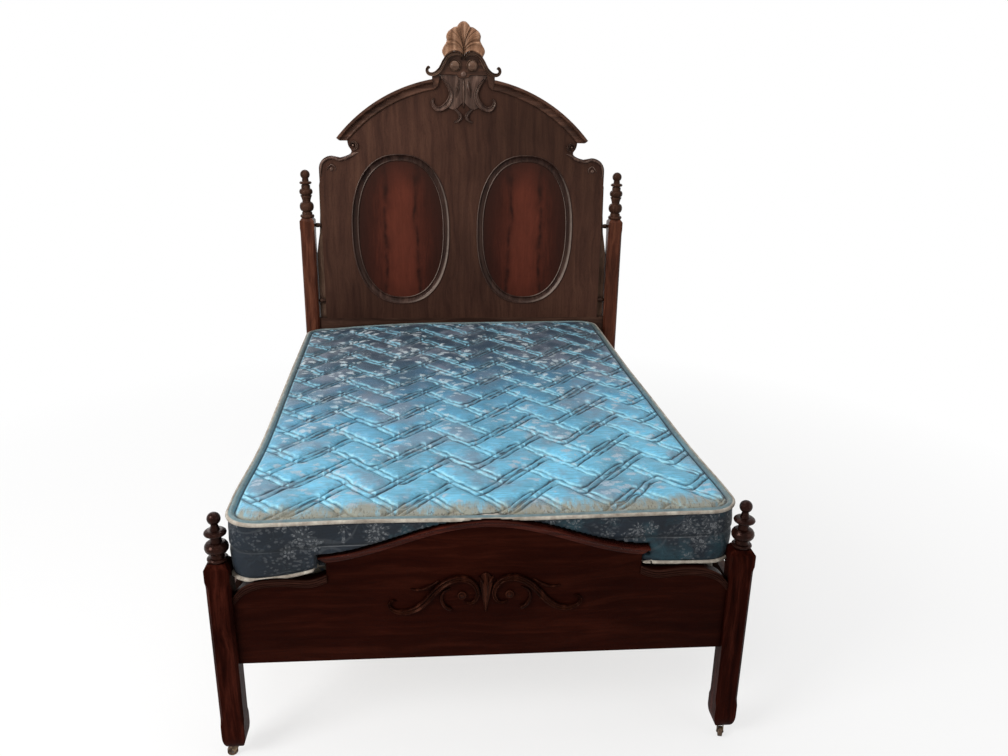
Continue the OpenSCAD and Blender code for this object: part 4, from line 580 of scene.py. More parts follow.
# which finish each node of the frame wears
def nodeFinish(name):
    for part, key in (("head_finial", "headTurned"), ("finial", "turned"), ("foot_post", "footPost"),
                      ("post", "post"), ("veneer", "veneer"), ("ring", "ring"),
                      ("palmette", "palmette"), ("crest_scroll", "crest"), ("crest_drop", "carved"),
                      ("crest_block", "arch"), ("arch", "arch"), ("shoulder_scroll", "carved"),
                      ("footboard_scroll", "footCarved"), ("leaf", "footCarved"), ("cap", "cap"),
                      ("reeding", "reeded"), ("batten", "batten"), ("pegs", "peg"),
                      ("bottom_rail", "bottomRail"), ("footboard_panel", "footPanel"),
                      ("headboard_panel", "panel"), ("side_rail", "rail"), ("ledger", "ledgerPine"),
                      ("slats", "pine"), ("hook", "iron"), ("box_spring", "ticking"),
                      ("mattress", "damaskTop"), ("caster_wheel", "wheelBrass"), ("caster_axle", "iron"),
                      ("caster", "brass")):
        if part in name:
            return finish[key]
    raise ValueError(name)


for nodeName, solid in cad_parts.items():
    wanted = nodeFinish(nodeName)
    if not solid.material_slots:
        solid.data.materials.append(wanted)
    for holder in solid.material_slots:
        holder.material = wanted
print("finishes put on the frame's nodes")


# curves in the plane of the boards, in millimetres
def smoothLine(points, steps):
    p = [np.array(q, float) for q in points]
    out = []
    for k in range(len(p) - 1):
        a, b, c, d = p[max(k - 1, 0)], p[k], p[k + 1], p[min(k + 2, len(p) - 1)]
        for i in range(steps):
            t = i / steps
            out.append(0.5 * (2 * b + (c - a) * t + (2 * a - 5 * b + 4 * c - d) * t * t
                              + (3 * b - a - 3 * c + d) * t ** 3))
    out.append(p[-1])
    return np.array(out)


def setOut(shares, x, z, w, h):
    return [(x + q[0] * w, z + q[1] * h) for q in shares]


def curl(centre, r, start, turns, shrink, steps):
    out = []
    for i in range(steps + 1):
        t = i / steps
        q = r * shrink ** (t * abs(turns))
        a = math.radians(start + 360 * turns * t)
        out.append((centre[0] + q * math.cos(a), centre[1] + q * math.sin(a)))
    return np.array(out)


def valueAt(table, s):
    return np.interp(s, [q[0] for q in table], [q[1] for q in table])


# sections of a carved stem as shares of its width and relief
sections = {
    "hollow": [(-0.5, 0), (-0.5, 0.35), (-0.44, 0.8), (-0.33, 1), (-0.22, 0.86), (-0.1, 0.6), (0.02, 0.55),
               (0.12, 0.66), (0.24, 0.9), (0.33, 1), (0.44, 0.8), (0.5, 0.35), (0.5, 0)],
    "round": [(-0.5, 0), (-0.47, 0.38), (-0.38, 0.7), (-0.2, 0.93), (0, 1), (0.2, 0.93), (0.38, 0.7),
              (0.47, 0.38), (0.5, 0)],
    "lipped": [(-0.5, 0), (-0.5, 0.5), (-0.47, 0.85), (-0.4, 1), (-0.32, 0.93), (-0.27, 0.7), (-0.18, 0.56),
               (0, 0.5),
               (0.16, 0.54), (0.27, 0.66), (0.32, 0.88), (0.4, 0.97), (0.47, 0.82), (0.5, 0.5), (0.5, 0)],
    "leaf": [(-0.5, 0), (-0.48, 0.4), (-0.36, 0.62), (-0.16, 0.7), (-0.08, 0.92), (0, 1), (0.07, 0.86),
             (0.12, 0.55),
             (0.2, 0.5), (0.34, 0.72), (0.45, 0.5), (0.5, 0)],
    "ribbed": [(-0.5, 0), (-0.5, 0.4), (-0.42, 0.72), (-0.3, 0.62), (-0.24, 0.58), (-0.14, 0.85), (0, 1),
               (0.14, 0.85),
               (0.24, 0.58), (0.3, 0.62), (0.42, 0.72), (0.5, 0.4), (0.5, 0)],
}


# a carved stem along a line on a flat face, closed at both ends
def stem(line, faceY, widths, heights, section, flip=1):
    line = np.asarray(line, float)
    form = smoothLine(sections[section], 3)
    n, m = len(line), len(form)
    gap = np.r_[0, np.cumsum(np.linalg.norm(np.diff(line, axis=0), axis=1))]
    s = gap / gap[-1]
    way = np.gradient(line, axis=0)
    way /= np.linalg.norm(way, axis=1)[:, None]
    ends = np.sqrt(np.clip(np.minimum(s, 1 - s) / 0.035, 0, 1)) * 0.85 + 0.15
    w = valueAt(widths, s) * ends
    h = valueAt(heights, s) * (0.4 + 0.6 * ends)
    verts = []
    for i in range(n):
        for a, b in form:
            verts.append((flip * (line[i][0] - way[i][1] * a * w[i]) * mm, (faceY - b * h[i]) * mm,
                          (line[i][1] + way[i][0] * a * w[i]) * mm))
    faces = []
    for i in range(n - 1):
        for j in range(m):
            k = (j + 1) % m
            quad = (i * m + j, i * m + k, (i + 1) * m + k, (i + 1) * m + j)
            faces.append(quad if flip > 0 else quad[::-1])
    first, last = tuple(range(m - 1, -1, -1)), tuple((n - 1) * m + j for j in range(m))
    faces += [first, last] if flip > 0 else [first[::-1], last[::-1]]
    return verts, faces


# a turned boss on a flat face
def button(x, z, faceY, r, h, flip=1, outline=None):
    outline = outline or [(1, 0), (1, 0.3), (0.94, 0.55), (0.78, 0.8), (0.5, 0.95), (0.2, 1)]
    rings, n = smoothLine(outline, 2), 36
    verts = [(flip * (x + q[0] * r * math.cos(2 * math.pi * i / n)) * mm, (faceY - q[1] * h) * mm,
              (z + q[0] * r * math.sin(2 * math.pi * i / n)) * mm) for q in rings for i in range(n)]
    verts.append((flip * x * mm, (faceY - rings[-1][1] * h) * mm, z * mm))
    faces = [(a * n + i, a * n + (i + 1) % n, (a + 1) * n + (i + 1) % n, (a + 1) * n + i)
             for a in range(len(rings) - 1) for i in range(n)]
    faces += [((len(rings) - 1) * n + i, (len(rings) - 1) * n + (i + 1) % n,
               len(verts) - 1) for i in range(n)]
    if flip < 0:
        faces = [f[::-1] for f in faces]
    return verts, faces


def joined(parts):
    verts, faces = [], []
    for v, f in parts:
        base = len(verts)
        verts += list(v)
        faces += [tuple(base + k for k in face) for face in f]
    return verts, faces


# a flat plate with a small bevel, cut to an outline that runs clockwise from the front
def plate(outline, faceY, thick, edge=1.6):
    p = np.array(outline, float)
    way = np.roll(p, -1, 0) - np.roll(p, 1, 0)
    way /= np.linalg.norm(way, axis=1)[:, None]
    inner = p + np.stack([way[:, 1], -way[:, 0]], -1) * edge
    rows = [(inner, thick), (inner, thick), (p, thick - edge), (p, thick - edge), (p, 0)]
    verts = [(x * mm, (faceY - h) * mm, z * mm) for line, h in rows for x, z in line]
    n = len(p)
    faces = [tuple(range(n))]
    for row in (1, 3):
        faces += [(row * n + i, row * n + (i + 1) % n, (row + 1) * n + (i + 1) % n, (row + 1) * n + i)[::-1]
                  for i in range(n)]
    return verts, faces


# the crest: palmette, scroll arms with volutes, and the drop below
palmette = {"rootZ": 1972.0, "reach": 151.0, "spread": 92.0, "relief": 30.0,
            "rim": [(0, 1), (3.5, 0.993), (7, 0.957), (10, 0.92), (13, 0.877), (18, 0.885), (24, 0.868),
                    (33, 0.841),
                    (40, 0.78), (44.5, 0.695), (51, 0.662), (58.5, 0.655), (67.5, 0.66), (75, 0.642),
                    (83, 0.583),
                    (92, 0.54)],
            "bend": [(0, 1.75), (45, 1.7), (92, 1.1)],
            "carved": [(0, 0.27), (1.2, 0.24), (4, 0.31), (8, 0.29), (10.6, 0.2), (12.2, 0.34),
                       (13.8, 0.31), (15.6, 0.12),
                       (17.6, 0.05), (21, 0.2), (25.5, 0.28), (28.2, 0.19), (31, 0.3), (37, 0.29),
                       (42.5, 0.16),
                       (45.5, 0.0), (47.5, 0.02), (50, 0.24), (53, 0.3), (57, 0.25), (64, 0.1), (72, 0.05),
                       (80, 0.08),
                       (87, 0.2), (92, 0.12)]}


def makePalmette():
    turns = np.linspace(-palmette["spread"], palmette["spread"], 461)
    steps = np.r_[0.02, np.linspace(0.05, 0.9, 44), 0.92, 0.94, 0.955, 0.97, 0.98, 0.99, 1]
    rim, carved = smoothLine(palmette["rim"], 6), smoothLine(palmette["carved"], 6)
    verts, faces = [], []
    for a in turns:
        reach = palmette["reach"] * valueAt(rim, abs(a))
        depth = valueAt(carved, abs(a))
        bend = valueAt(palmette["bend"], abs(a))
        for t in steps:
            bulge = 0.42 + 0.3 * math.sin(math.radians(120 * t))
            vein = 0.012 * math.cos(math.radians(abs(a) * 95)) * t * (abs(a) > 18)
            curl = math.sqrt(max(0, 1 - max(0, (t - 0.92) / 0.08) ** 2)) * 0.5 + 0.5
            h = palmette["relief"] * (bulge + (depth + vein) * t ** 0.8) * curl
            turn = math.radians(a * t ** bend)
            verts.append((reach * t * math.sin(turn) * mm, (bed["boardY"] - h) * mm,
                          (palmette["rootZ"] + reach * t * math.cos(turn)) * mm))
    n, m = len(turns), len(steps)
    for i in range(n - 1):
        for j in range(m - 1):
            faces.append((i * m + j, (i + 1) * m + j, (i + 1) * m + j + 1, i * m + j + 1)[::-1])
    rim = len(verts)
    backY = (bed["boardY"] + 6) * mm
    outline = [i * m + m - 1 for i in range(n)] + [(n - 1) * m + j for j in range(m - 2, -1, -1)] \
        + [i * m for i in range(n - 2, -1, -1)] + [j for j in range(1, m - 1)]
    for k in outline:
        verts.append((verts[k][0], backY, verts[k][2]))
    for i in range(len(outline)):
        j = (i + 1) % len(outline)
        faces.append((outline[i], outline[j], rim + j, rim + i)[::-1])
    faces.append(tuple(rim + i for i in range(len(outline)))[::-1])
    return verts, faces


crestHalf, crestHigh, dropLong = 173.0, 225.0, 243.0
crestFace = bed["boardY"] - 12
piece = putMesh("crest_palmette_carved", *makePalmette(), [finish["palmette"]], "crest_walnut")
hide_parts("crest_palmette")


def crestScroll(flip):
    arm = [(0.04, 0.3), (0.075, 0.385), (0.187, 0.415), (0.311, 0.4), (0.42, 0.345), (0.5, 0.254),
           (0.55, 0.181), (0.605, 0.116), (0.69, 0.058), (0.79, 0.03), (0.885, 0.044), (0.925, 0.1),
           (0.895, 0.155), (0.845, 0.14)]
    eye = (crestHalf * 0.225, bed["crownZ"] + crestHigh * 0.196)
    return joined([
        stem(smoothLine(setOut(arm, 0, bed["crownZ"], crestHalf, crestHigh), 10), crestFace,
             [(0, 9), (0.15, 15), (0.45, 20), (0.65, 20), (0.85, 15), (1, 13)],
             [(0, 14), (0.3, 20), (0.6, 22), (1, 15)], "lipped", flip),
        stem(curl(eye, 25.5, 250, -0.62, 0.86, 60), crestFace, [(0, 3), (0.5, 6), (1, 5)],
             [(0, 8), (0.5, 17), (1, 12)], "round", flip),
        button(eye[0], eye[1], crestFace, 24, 19, flip)])


for side, flip in (("left", -1), ("right", 1)):
    piece = putMesh("crest_scroll_carved_" + side, *crestScroll(flip), [finish["crest"]], "crest_walnut")
    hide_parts("crest_scroll_" + side)


def crestDrop():
    def down(shares):
        return smoothLine(setOut(shares, 0, bed["crownZ"], crestHalf, dropLong), 9)
    relief, face = 16.0, bed["boardY"]
    half = [(0.566, -0.041), (0.44, -0.123), (0.345, -0.218), (0.324, -0.315), (0.37, -0.436),
            (0.45, -0.51),
            (0.347, -0.56), (0.249, -0.58), (0.162, -0.556), (0.07, -0.494), (0, -0.444)]
    lip = setOut([(0.6, 0.027), (0.175, 0.027), (0.115, -0.018), (0, -0.036)], 0, bed["crownZ"], crestHalf,
                 crestHigh)
    low = setOut(half, 0, bed["crownZ"], crestHalf, dropLong)
    outline = [(-x, z) for x, z in lip[:-1]] + lip[::-1] + [tuple(q) for q in smoothLine(low, 5)]
    outline += [(-x, z) for x, z in outline[len(lip) * 2 - 1:-1]][::-1]
    parts = [
        plate(outline, face, 5),
        stem(down([(0, -0.04), (0, -0.2), (0, -0.4), (0, -0.55)]), face,
             [(0, 8), (0.4, 20), (0.75, 13), (1, 4)], [(0, relief * 0.7), (0.4, relief), (1, relief * 0.5)],
             "ribbed"),
        button(0, bed["crownZ"] + crestHigh * 0.04, crestFace, 12.5, 10)]
    for flip in (-1, 1):
        parts += [
            stem(down([(0.54, -0.04), (0.44, -0.123), (0.358, -0.218), (0.324, -0.315), (0.382, -0.449),
                       (0.52, -0.543), (0.665, -0.57), (0.77, -0.516), (0.798, -0.436), (0.746, -0.383)]),
                 face,
                 [(0, 9), (0.3, 16), (0.55, 27), (0.75, 21), (0.9, 13), (1, 8)],
                 [(0, relief * 0.6), (0.3, relief * 0.9), (0.55, relief), (1, relief * 0.6)], "lipped",
                 flip),
            stem(down([(0.104, -0.06), (0.13, -0.15), (0.156, -0.235), (0.185, -0.37)]), face,
                 [(0, 6), (0.5, 20), (1, 7)], [(0, relief * 0.5), (0.5, relief * 0.9), (1, relief * 0.5)],
                 "leaf", flip),
            stem(down([(0.249, -0.56), (0.133, -0.626), (0.081, -0.698), (0.133, -0.771), (0.249, -0.798)]),
                 face,
                 [(0, 7), (0.5, 17), (1, 8)], [(0, relief * 0.4), (0.5, relief * 0.8), (1, relief * 0.4)],
                 "lipped", flip)]
    return joined(parts)


piece = putMesh("crest_drop_carved", *crestDrop(), [finish["carved"]], "carved_walnut")
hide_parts("crest_drop")
print("crest carved")


# shoulder volute, lip and rosette
def shoulderScroll(flip):
    neckX = bed["archHalf"] * 0.89
    underZ = bed["tipZ"] - 12
    neckZ = (bed["shoulderZ"] + underZ) / 2
    eye = (neckX - 9, underZ - 19)
    half, top, r = bed["boardHalf"], bed["shoulderZ"], bed["shoulderR"]
    lip = [(eye[0] - 24, eye[1] - 30), (neckX - 9, neckZ - 24), (neckX + 8, neckZ - 36),
           (bed["archHalf"] - 26, top - 13), (bed["archHalf"] - 6, top - 18), (half - r, top - 9),
           (half - r * 0.34, top - r * 0.34 - 6), (half - 8, top - r), (half - 9, top - r - 34)]
    curlLine = [(half - 34, top - 66), (half - 42, top - 52), (half - 58, top - 38), (half - 74, top - 52),
                (half - 72, top - 68)]
    return joined([
        stem(smoothLine(lip, 10), bed["boardY"], [(0, 5), (0.1, 14), (0.4, 12), (0.8, 12), (1, 4)],
             [(0, 4), (0.15, 9), (0.9, 8), (1, 3)], "round", flip),
        stem(curl(eye, 21, -78, -0.86, 0.5, 56), bed["boardY"], [(0, 5), (0.3, 12), (1, 6)],
             [(0, 5), (0.3, 15), (1, 10)], "hollow", flip),
        button(eye[0], eye[1], bed["boardY"], 5.5, 13, flip),
        stem(smoothLine(curlLine, 10), bed["boardY"], [(0, 3), (0.5, 9), (1, 3)],
             [(0, 2), (0.5, 6), (1, 2)], "round", flip),
        button(half - 56, top - 58, bed["boardY"], 8, 6, flip)])


for side, flip in (("left", -1), ("right", 1)):
    piece = putMesh("shoulder_scroll_carved_" + side, *shoulderScroll(flip), [finish["carved"]],
                    "carved_walnut")
    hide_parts("shoulder_scroll_" + side)


# a moulding that follows a line in X and Z, its section in upright planes
def runMoulding(line, cuts, flip=1):
    n, m = len(line), len(cuts[0])
    verts = [(flip * line[i][0] * mm, q[0] * mm,
              (line[i][1] + q[1]) * mm) for i in range(n) for q in cuts[i]]
    faces = []
    for i in range(n - 1):
        for j in range(m):
            k = (j + 1) % m
            quad = (i * m + j, i * m + k, (i + 1) * m + k, (i + 1) * m + j)
            faces.append(quad if flip > 0 else quad[::-1])
    first, last = tuple(range(m - 1, -1, -1)), tuple((n - 1) * m + j for j in range(m))
    faces += [first, last] if flip > 0 else [first[::-1], last[::-1]]
    return verts, faces


# footboard cap with its lip and cove, the reeded shoulders and the carving
footCap = {"endZ": 654.0, "rise": 98.0, "half": 452.0, "proud": 14.0, "behind": 3.0, "high": 24.0,
           "thick": 6.0, "over": 20.0, "boardT": 25.0}


def capLine(x):
    return footCap["endZ"] + footCap["rise"] * (1 + math.cos(math.pi * min(abs(x) / (footCap["half"]
                                                                                     * 1.04), 1))) / 2


def makeCap():
    half, over, t = footCap["half"], footCap["over"], footCap["thick"]
    xs = np.r_[-half + over * (1 - np.cos(np.linspace(0, math.pi / 2, 10))),
               np.linspace(-half + over, half - over, 180)[1:-1],
               half - over * (1 - np.cos(np.linspace(math.pi / 2, 0, 10)))]
    fore, rear = bed["footY"] - footCap["proud"], bed["footY"] + footCap["boardT"] + footCap["behind"]
    cuts = []
    for x in xs:
        k = math.sqrt(max(0, min(1, (half - abs(x)) / over)))
        d = (footCap["high"] - t) * k + 0.2
        y = bed["footY"]
        cove = [(fore + 2 + (footCap["proud"] - 3.4) * math.sin(a), -t - d * (1 - math.cos(a)))
                for a in np.linspace(0.15, math.pi / 2, 9)]
        cuts.append([(rear, -0.8), (rear - 0.8, 0), (fore + 3.5, 0), (fore + 1.6, -0.5), (fore + 0.5, -1.5),
                     (fore, -t * 0.5), (fore + 0.5, -t * 0.8), (fore + 1.6, -t), *cove,
                     (y - 1.2, -t - d), (y, -t - d), (y, -t), (rear, -t)])
    return runMoulding([(x, capLine(x)) for x in xs], cuts)


piece = putMesh("footboard_cap_moulded", *makeCap(), [finish["cap"]], "cap_mahogany")
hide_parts("footboard_cap")

edgeX = footCap["half"] - footCap["over"]
shoulderShares = [(0, 0), (0.1, -0.16), (0.2, -0.24), (0.34, -0.19), (0.48, -0.14), (0.65, -0.17),
                  (0.78, -0.29), (0.9, -0.54), (1, -1)]
shoulderLine = smoothLine(setOut(shoulderShares, edgeX, 596.0, bed["postIn"] - edgeX, 63.0), 10)
reed = {"wide": 26.0, "proud": 7.0,
        "form": [(0, 0), (0.35, 0), (0.75, -0.02), (1, -0.1), (0.85, -0.2), (0.5, -0.26), (0.75, -0.31),
                 (0.95, -0.4),
                 (0.8, -0.49), (0.42, -0.55), (0.65, -0.6), (0.8, -0.68), (0.62, -0.76), (0.3, -0.82),
                 (0.45, -0.87),
                 (0.45, -0.94), (0.1, -1), (0, -1)]}
for side, flip in (("left", -1), ("right", 1)):
    cut = [(bed["footY"] - q[0] * reed["proud"], q[1] * reed["wide"]) for q in reed["form"]]
    piece = putMesh("footboard_reeding_run_" + side,
                    *runMoulding(shoulderLine, [cut] * len(shoulderLine), flip),
                    [finish["reeded"]], "moulding_walnut")
    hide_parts("footboard_reeding_" + side)

carving = {"half": 278.0, "high": 126.0, "lowZ": 463.0, "relief": 12.0}


def carveLine(shares):
    return smoothLine(setOut(shares, 0, carving["lowZ"], carving["half"], carving["high"]), 8)


def footScroll(flip):
    r, face = carving["relief"], bed["footY"]
    main = [(0.216, 0.286), (0.158, 0.238), (0.105, 0.31), (0.08, 0.476), (0.105, 0.675), (0.173, 0.825),
            (0.281, 0.87), (0.396, 0.77), (0.504, 0.56), (0.594, 0.32), (0.691, 0.14), (0.813, 0.06),
            (0.914, 0.111), (0.957, 0.246), (0.928, 0.357), (0.885, 0.349)]
    return joined([
        stem(carveLine(main), face,
             [(0, 4), (0.1, 11), (0.3, 18), (0.5, 21), (0.75, 18), (0.92, 9), (1, 4)],
             [(0, r * 0.4), (0.3, r), (0.8, r * 0.8), (1, r * 0.4)], "hollow", flip),
        stem(carveLine([(0.35, 0.63), (0.425, 0.53), (0.445, 0.36), (0.41, 0.18), (0.345, 0.09)]), face,
             [(0, 4), (0.6, 11), (1, 12)], [(0, r * 0.3), (1, r * 0.9)], "round", flip),
        stem(carveLine([(0.46, 0.83), (0.568, 0.675), (0.665, 0.611), (0.748, 0.635)]), face,
             [(0, 3), (0.4, 9), (1, 4)], [(0, r * 0.3), (0.5, r * 0.7), (1, r * 0.3)], "round", flip),
        button(carving["half"] * 0.238, carving["lowZ"] + carving["high"] * 0.44, face, 12, r * 0.75, flip,
               [(1, 0), (1, 0.4), (0.9, 0.7), (0.7, 0.62), (0.5, 0.7), (0.3, 0.95), (0.1, 1)])])


for side, flip in (("left", -1), ("right", 1)):
    piece = putMesh("footboard_scroll_carved_" + side, *footScroll(flip), [finish["footCarved"]],
                    "carved_walnut")
    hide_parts("footboard_scroll_" + side)
leafParts = [stem(carveLine([(0, 1), (0, 0.85), (0, 0.6), (0, 0.3), (0, 0)]), bed["footY"],
                  [(0, 12), (0.1, 30), (0.28, 38), (0.52, 26), (0.8, 11), (1, 3)],
                  [(0, 5), (0.3, 9), (1, 4)], "ribbed")]
for flip in (-1, 1):
    leafParts.append(stem(carveLine([(0.034, 0.74), (0.05, 0.83), (0.072, 0.9)]), bed["footY"],
                          [(0, 5), (0.6, 10), (1, 4)], [(0, 8), (0.6, 11), (1, 6)], "round", flip))
piece = putMesh("footboard_leaf_carved", *joined(leafParts), [finish["footCarved"]], "carved_walnut")
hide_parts("footboard_leaf")
print("shoulders and footboard carved")


# ring mouldings round the veneered ovals
ringForm = {"a": 226.0, "b": 347.0, "x": 289.0, "z": 1216.0, "power": 2.35, "wide": 32.0, "proud": 3.5,
            "sink": 12.0, "lip": 5.0,
            "cut": [(0, 0), (0, 0.35), (0.02, 0.8), (0.055, 1), (0.1, 1), (0.14, 0.8), (0.17, 0.3),
                    (0.19, 0),
                    (0.23, -0.2), (0.3, -0.4), (0.4, -0.56), (0.5, -0.66), (0.65, -0.74), (0.8, -0.8),
                    (0.83, -0.74),
                    (0.86, -0.64), (0.905, -0.58), (0.95, -0.64), (0.985, -0.78), (1, -0.9), (1, -1)]}


def ovalRing(flip):
    n = 208
    cut = ringForm["cut"] + [(ringForm["lip"] / ringForm["wide"], -1),
                             (ringForm["lip"] / ringForm["wide"], 0)]
    verts = []
    for i in range(n):
        c, s = math.cos(2 * math.pi * i / n), math.sin(2 * math.pi * i / n)
        px = math.copysign(abs(c) ** (2 / ringForm["power"]), c)
        pz = math.copysign(abs(s) ** (2 / ringForm["power"]), s)
        for q, h in cut:
            inset = q * ringForm["wide"]
            y = bed["boardY"] - (h * ringForm["proud"] if h > 0 else h * ringForm["sink"])
            verts.append((flip * (ringForm["x"] + (ringForm["a"] - inset) * px) * mm, y * mm,
                          (ringForm["z"] + (ringForm["b"] - inset) * pz) * mm))
    m = len(cut)
    faces = []
    for i in range(n):
        for j in range(m):
            quad = (i * m + j, i * m + (j + 1) % m, (i + 1) % n * m + (j + 1) % m, (i + 1) % n * m + j)
            faces.append(quad if flip < 0 else quad[::-1])
    return verts, faces


for side, flip in (("left", -1), ("right", 1)):
    piece = putMesh("oval_ring_run_" + side, *ovalRing(flip), [finish["ring"]], "ring_walnut")
    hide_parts("oval_ring_" + side)
print("oval rings run")


# head finials: thick beads with shallow necks, then a flat ring under the ball
headTurning = {"foot": 215.0, "spigot": 37.0, "spigotR": 9.0, "around": 56,
               "beads": [(7, 8, 32, 24), (50, 21, 32, 19), (117, 14, 30, 20), (157, 7.5, 27.5, 15)],
               "cones": {1: [(23.5, 18), (23, 24)], 2: [(18.5, 77), (22, 90), (26.5, 100)],
                         3: [(20, 137), (20, 146)],
                         4: [(15, 167)]}, "ball": (193.5, 21.5)}


def turnedPiece(outline, around, place, axis="z"):
    verts, faces = [(0, 0, outline[0][1])], []
    for r, h in outline[1:-1]:
        for q in range(around):
            g = 2 * math.pi * q / around
            verts.append((r * math.cos(g), r * math.sin(g), h))
    verts.append((0, 0, outline[-1][1]))
    last, rounds = len(verts) - 1, len(outline) - 2
    for q in range(around):
        w = (q + 1) % around
        faces.append((0, 1 + w, 1 + q))
        for k in range(rounds - 1):
            c = 1 + k * around
            faces.append((c + q, c + w, c + around + w, c + around + q))
        faces.append((last, 1 + (rounds - 1) * around + q, 1 + (rounds - 1) * around + w))
    if axis == "x":
        verts = [(h, x, y) for x, y, h in verts]
    return [tuple((np.array(v) + place) * mm) for v in verts], faces


def beadLine(z, half, r, neck):
    return [(neck + (r - neck) * math.cos(g), z + half * math.sin(g)) for g in np.linspace(-math.pi / 2,
                                                                                           math.pi / 2, 11)]


def headFinialLine(look):
    line = [(0, -look["spigot"]), (look["spigotR"], -look["spigot"]), (look["spigotR"], 0), (24, 0)]
    for k, bead in enumerate(look["beads"]):
        line += look["cones"].get(k, []) + beadLine(*bead)
    line += look["cones"][4]
    z, r = look["ball"]
    line += [(r * math.cos(g), z + r * math.sin(g)) for g in np.linspace(-0.85, math.pi / 2 - 0.08, 13)]
    return line + [(0, z + r)]


for side in ("left", "right"):
    low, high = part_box("head_finial_" + side)
    middle = (low + high) / 2 / mm
    made = turnedPiece(headFinialLine(headTurning), headTurning["around"],
                       np.array((middle[0], middle[1], high[2] / mm - headTurning["foot"])))
    piece = putMesh("head_finial_turned_" + side, *made, [finish["headTurned"]], "turned_walnut")
    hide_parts("head_finial_" + side)

# pegs swell between the panel and the post, and the battens reach over towards the post
pegForm = {"r": 6.0, "swell": 4.2, "ends": (630.0, 707.0), "gap": (652.5, 684.5), "y": 968.0,
           "heights": (1240.0, 884.0)}
pegLine = [(0, pegForm["ends"][0]), (5.2, pegForm["ends"][0]), (6, pegForm["ends"][0] + 1)]
for t in np.linspace(0, 1, 15):
    pegLine.append((pegForm["r"] + pegForm["swell"] * math.sin(math.pi * t) ** 0.7
                    * (1 - 0.25 * math.sin(2 * math.pi * t)),
                    pegForm["gap"][0] + (pegForm["gap"][1] - pegForm["gap"][0]) * t))
pegLine += [(6, pegForm["ends"][1] - 1), (5.2, pegForm["ends"][1]), (0, pegForm["ends"][1])]
pegs = []
for z in pegForm["heights"]:
    for flip in (-1, 1):
        verts, faces = turnedPiece(pegLine, 20, np.array((0, pegForm["y"], z)), "x")
        pegs.append(([(flip * v[0], v[1], v[2]) for v in verts],
                     [f if flip > 0 else f[::-1] for f in faces]))
piece = putMesh("headboard_pegs_turned", *joined(pegs), [finish["peg"]], "batten_wood")
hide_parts("headboard_pegs")

battenForm = {"inner": 610.0, "outer": 683.0, "ease": 1.6,
              "slope": [(683.0, 1105.0), (676.0, 1150.0), (666.0, 1205.0), (660.5, 1290.0), (658.5, 1420.0),
                        (652.0, 1440.0)]}


def batten(flip):
    low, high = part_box("headboard_batten_right")
    y0, y1, z0 = low[1] / mm, high[1] / mm, low[2] / mm
    form, e = battenForm, battenForm["ease"]
    outline = [(form["inner"], z0),
               (form["outer"], z0)] + form["slope"] + [(form["inner"], form["slope"][-1][1])]
    middle = np.mean(outline, 0)
    rounds = []
    for y, pull in ((y0, e), (y0 + e, 0), (y1 - e, 0), (y1, e)):
        rounds.append([(flip * (x - math.copysign(pull, x - middle[0])) * mm, y * mm,
                        (z - math.copysign(pull, z - middle[1])) * mm)
                       for x, z in outline])
    n = len(outline)
    verts = [v for line in rounds for v in line]
    faces = [tuple(range(n)), tuple(range(4 * n - 1, 3 * n - 1, -1))]
    for k in range(3):
        for i in range(n):
            j = (i + 1) % n
            faces.append((k * n + j, k * n + i, (k + 1) * n + i, (k + 1) * n + j))
    return verts, [f if flip > 0 else f[::-1] for f in faces]


for side, flip in (("left", -1), ("right", 1)):
    piece = putMesh("headboard_batten_sawn_" + side, *batten(flip), [finish["batten"]], "batten_wood")
    piece.data.polygons.foreach_set("use_smooth", np.zeros(len(piece.data.polygons), bool))
    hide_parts("headboard_batten_" + side)
print("head finials turned, pegs and battens made")



# Bedding: the mattress's block is blown up as cloth, and each move is cut off at the cap. All points reach
# the cap, so only the relative height of the top is used, and every seam and fold comes from a formula
def swell(node, look):
    low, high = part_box(node)
    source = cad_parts[node].data.copy()
    block = bpy.data.objects.new(node + "_block", source)
    bpy.context.scene.collection.objects.link(block)
    middle = (low + high) / 2
    reach = (high - low) / 2
    shrink = [(r - look["smaller"]) / r for r in reach]
    source.transform(Matrix.Translation(middle) @ Matrix.Diagonal((*shrink, 1)) @ Matrix.Translation(-middle))
    bpy.context.view_layer.objects.active = block
    remesh = block.modifiers.new("remesh", "REMESH")
    remesh.mode = "VOXEL"
    remesh.voxel_size = look["voxel"]
    held = bpy.context.evaluated_depsgraph_get()
    start = bpy.data.meshes.new_from_object(block.evaluated_get(held))
    block.modifiers.clear()
    block.data = start
    cloth = block.modifiers.new("cloth", "CLOTH")
    cloth.settings.use_pressure = True
    cloth.settings.uniform_pressure_force = look["pressure"]
    cloth.settings.effector_weights.gravity = 0
    cloth.settings.tension_stiffness = 25
    cloth.settings.compression_stiffness = 25
    cloth.settings.bending_stiffness = look["stiff"]
    cloth.point_cache.frame_start, cloth.point_cache.frame_end = 1, 20
    before = np.array([v.co for v in start.vertices])
    for step in range(1, 21):
        bpy.context.scene.frame_set(step)
    shown = block.evaluated_get(bpy.context.evaluated_depsgraph_get()).to_mesh()
    after = np.array([v.co for v in shown.vertices])
    move = after - before
    far = np.linalg.norm(move, axis=1)
    move *= np.minimum(1, look["cap"] / np.maximum(far, 1e-9))[:, None]
    print(node, "cloth points:", len(before), "at the cap:", int((far >= look["cap"]).sum()),
          "largest move mm:", round(float(far.max()) * 1000, 1))
    tree = BVHTree.FromPolygons([tuple(p) for p in before + move],
                                [tuple(p.vertices) for p in start.polygons])
    block.modifiers.clear()
    bpy.data.objects.remove(block)
    bpy.context.scene.frame_set(1)
    return tree


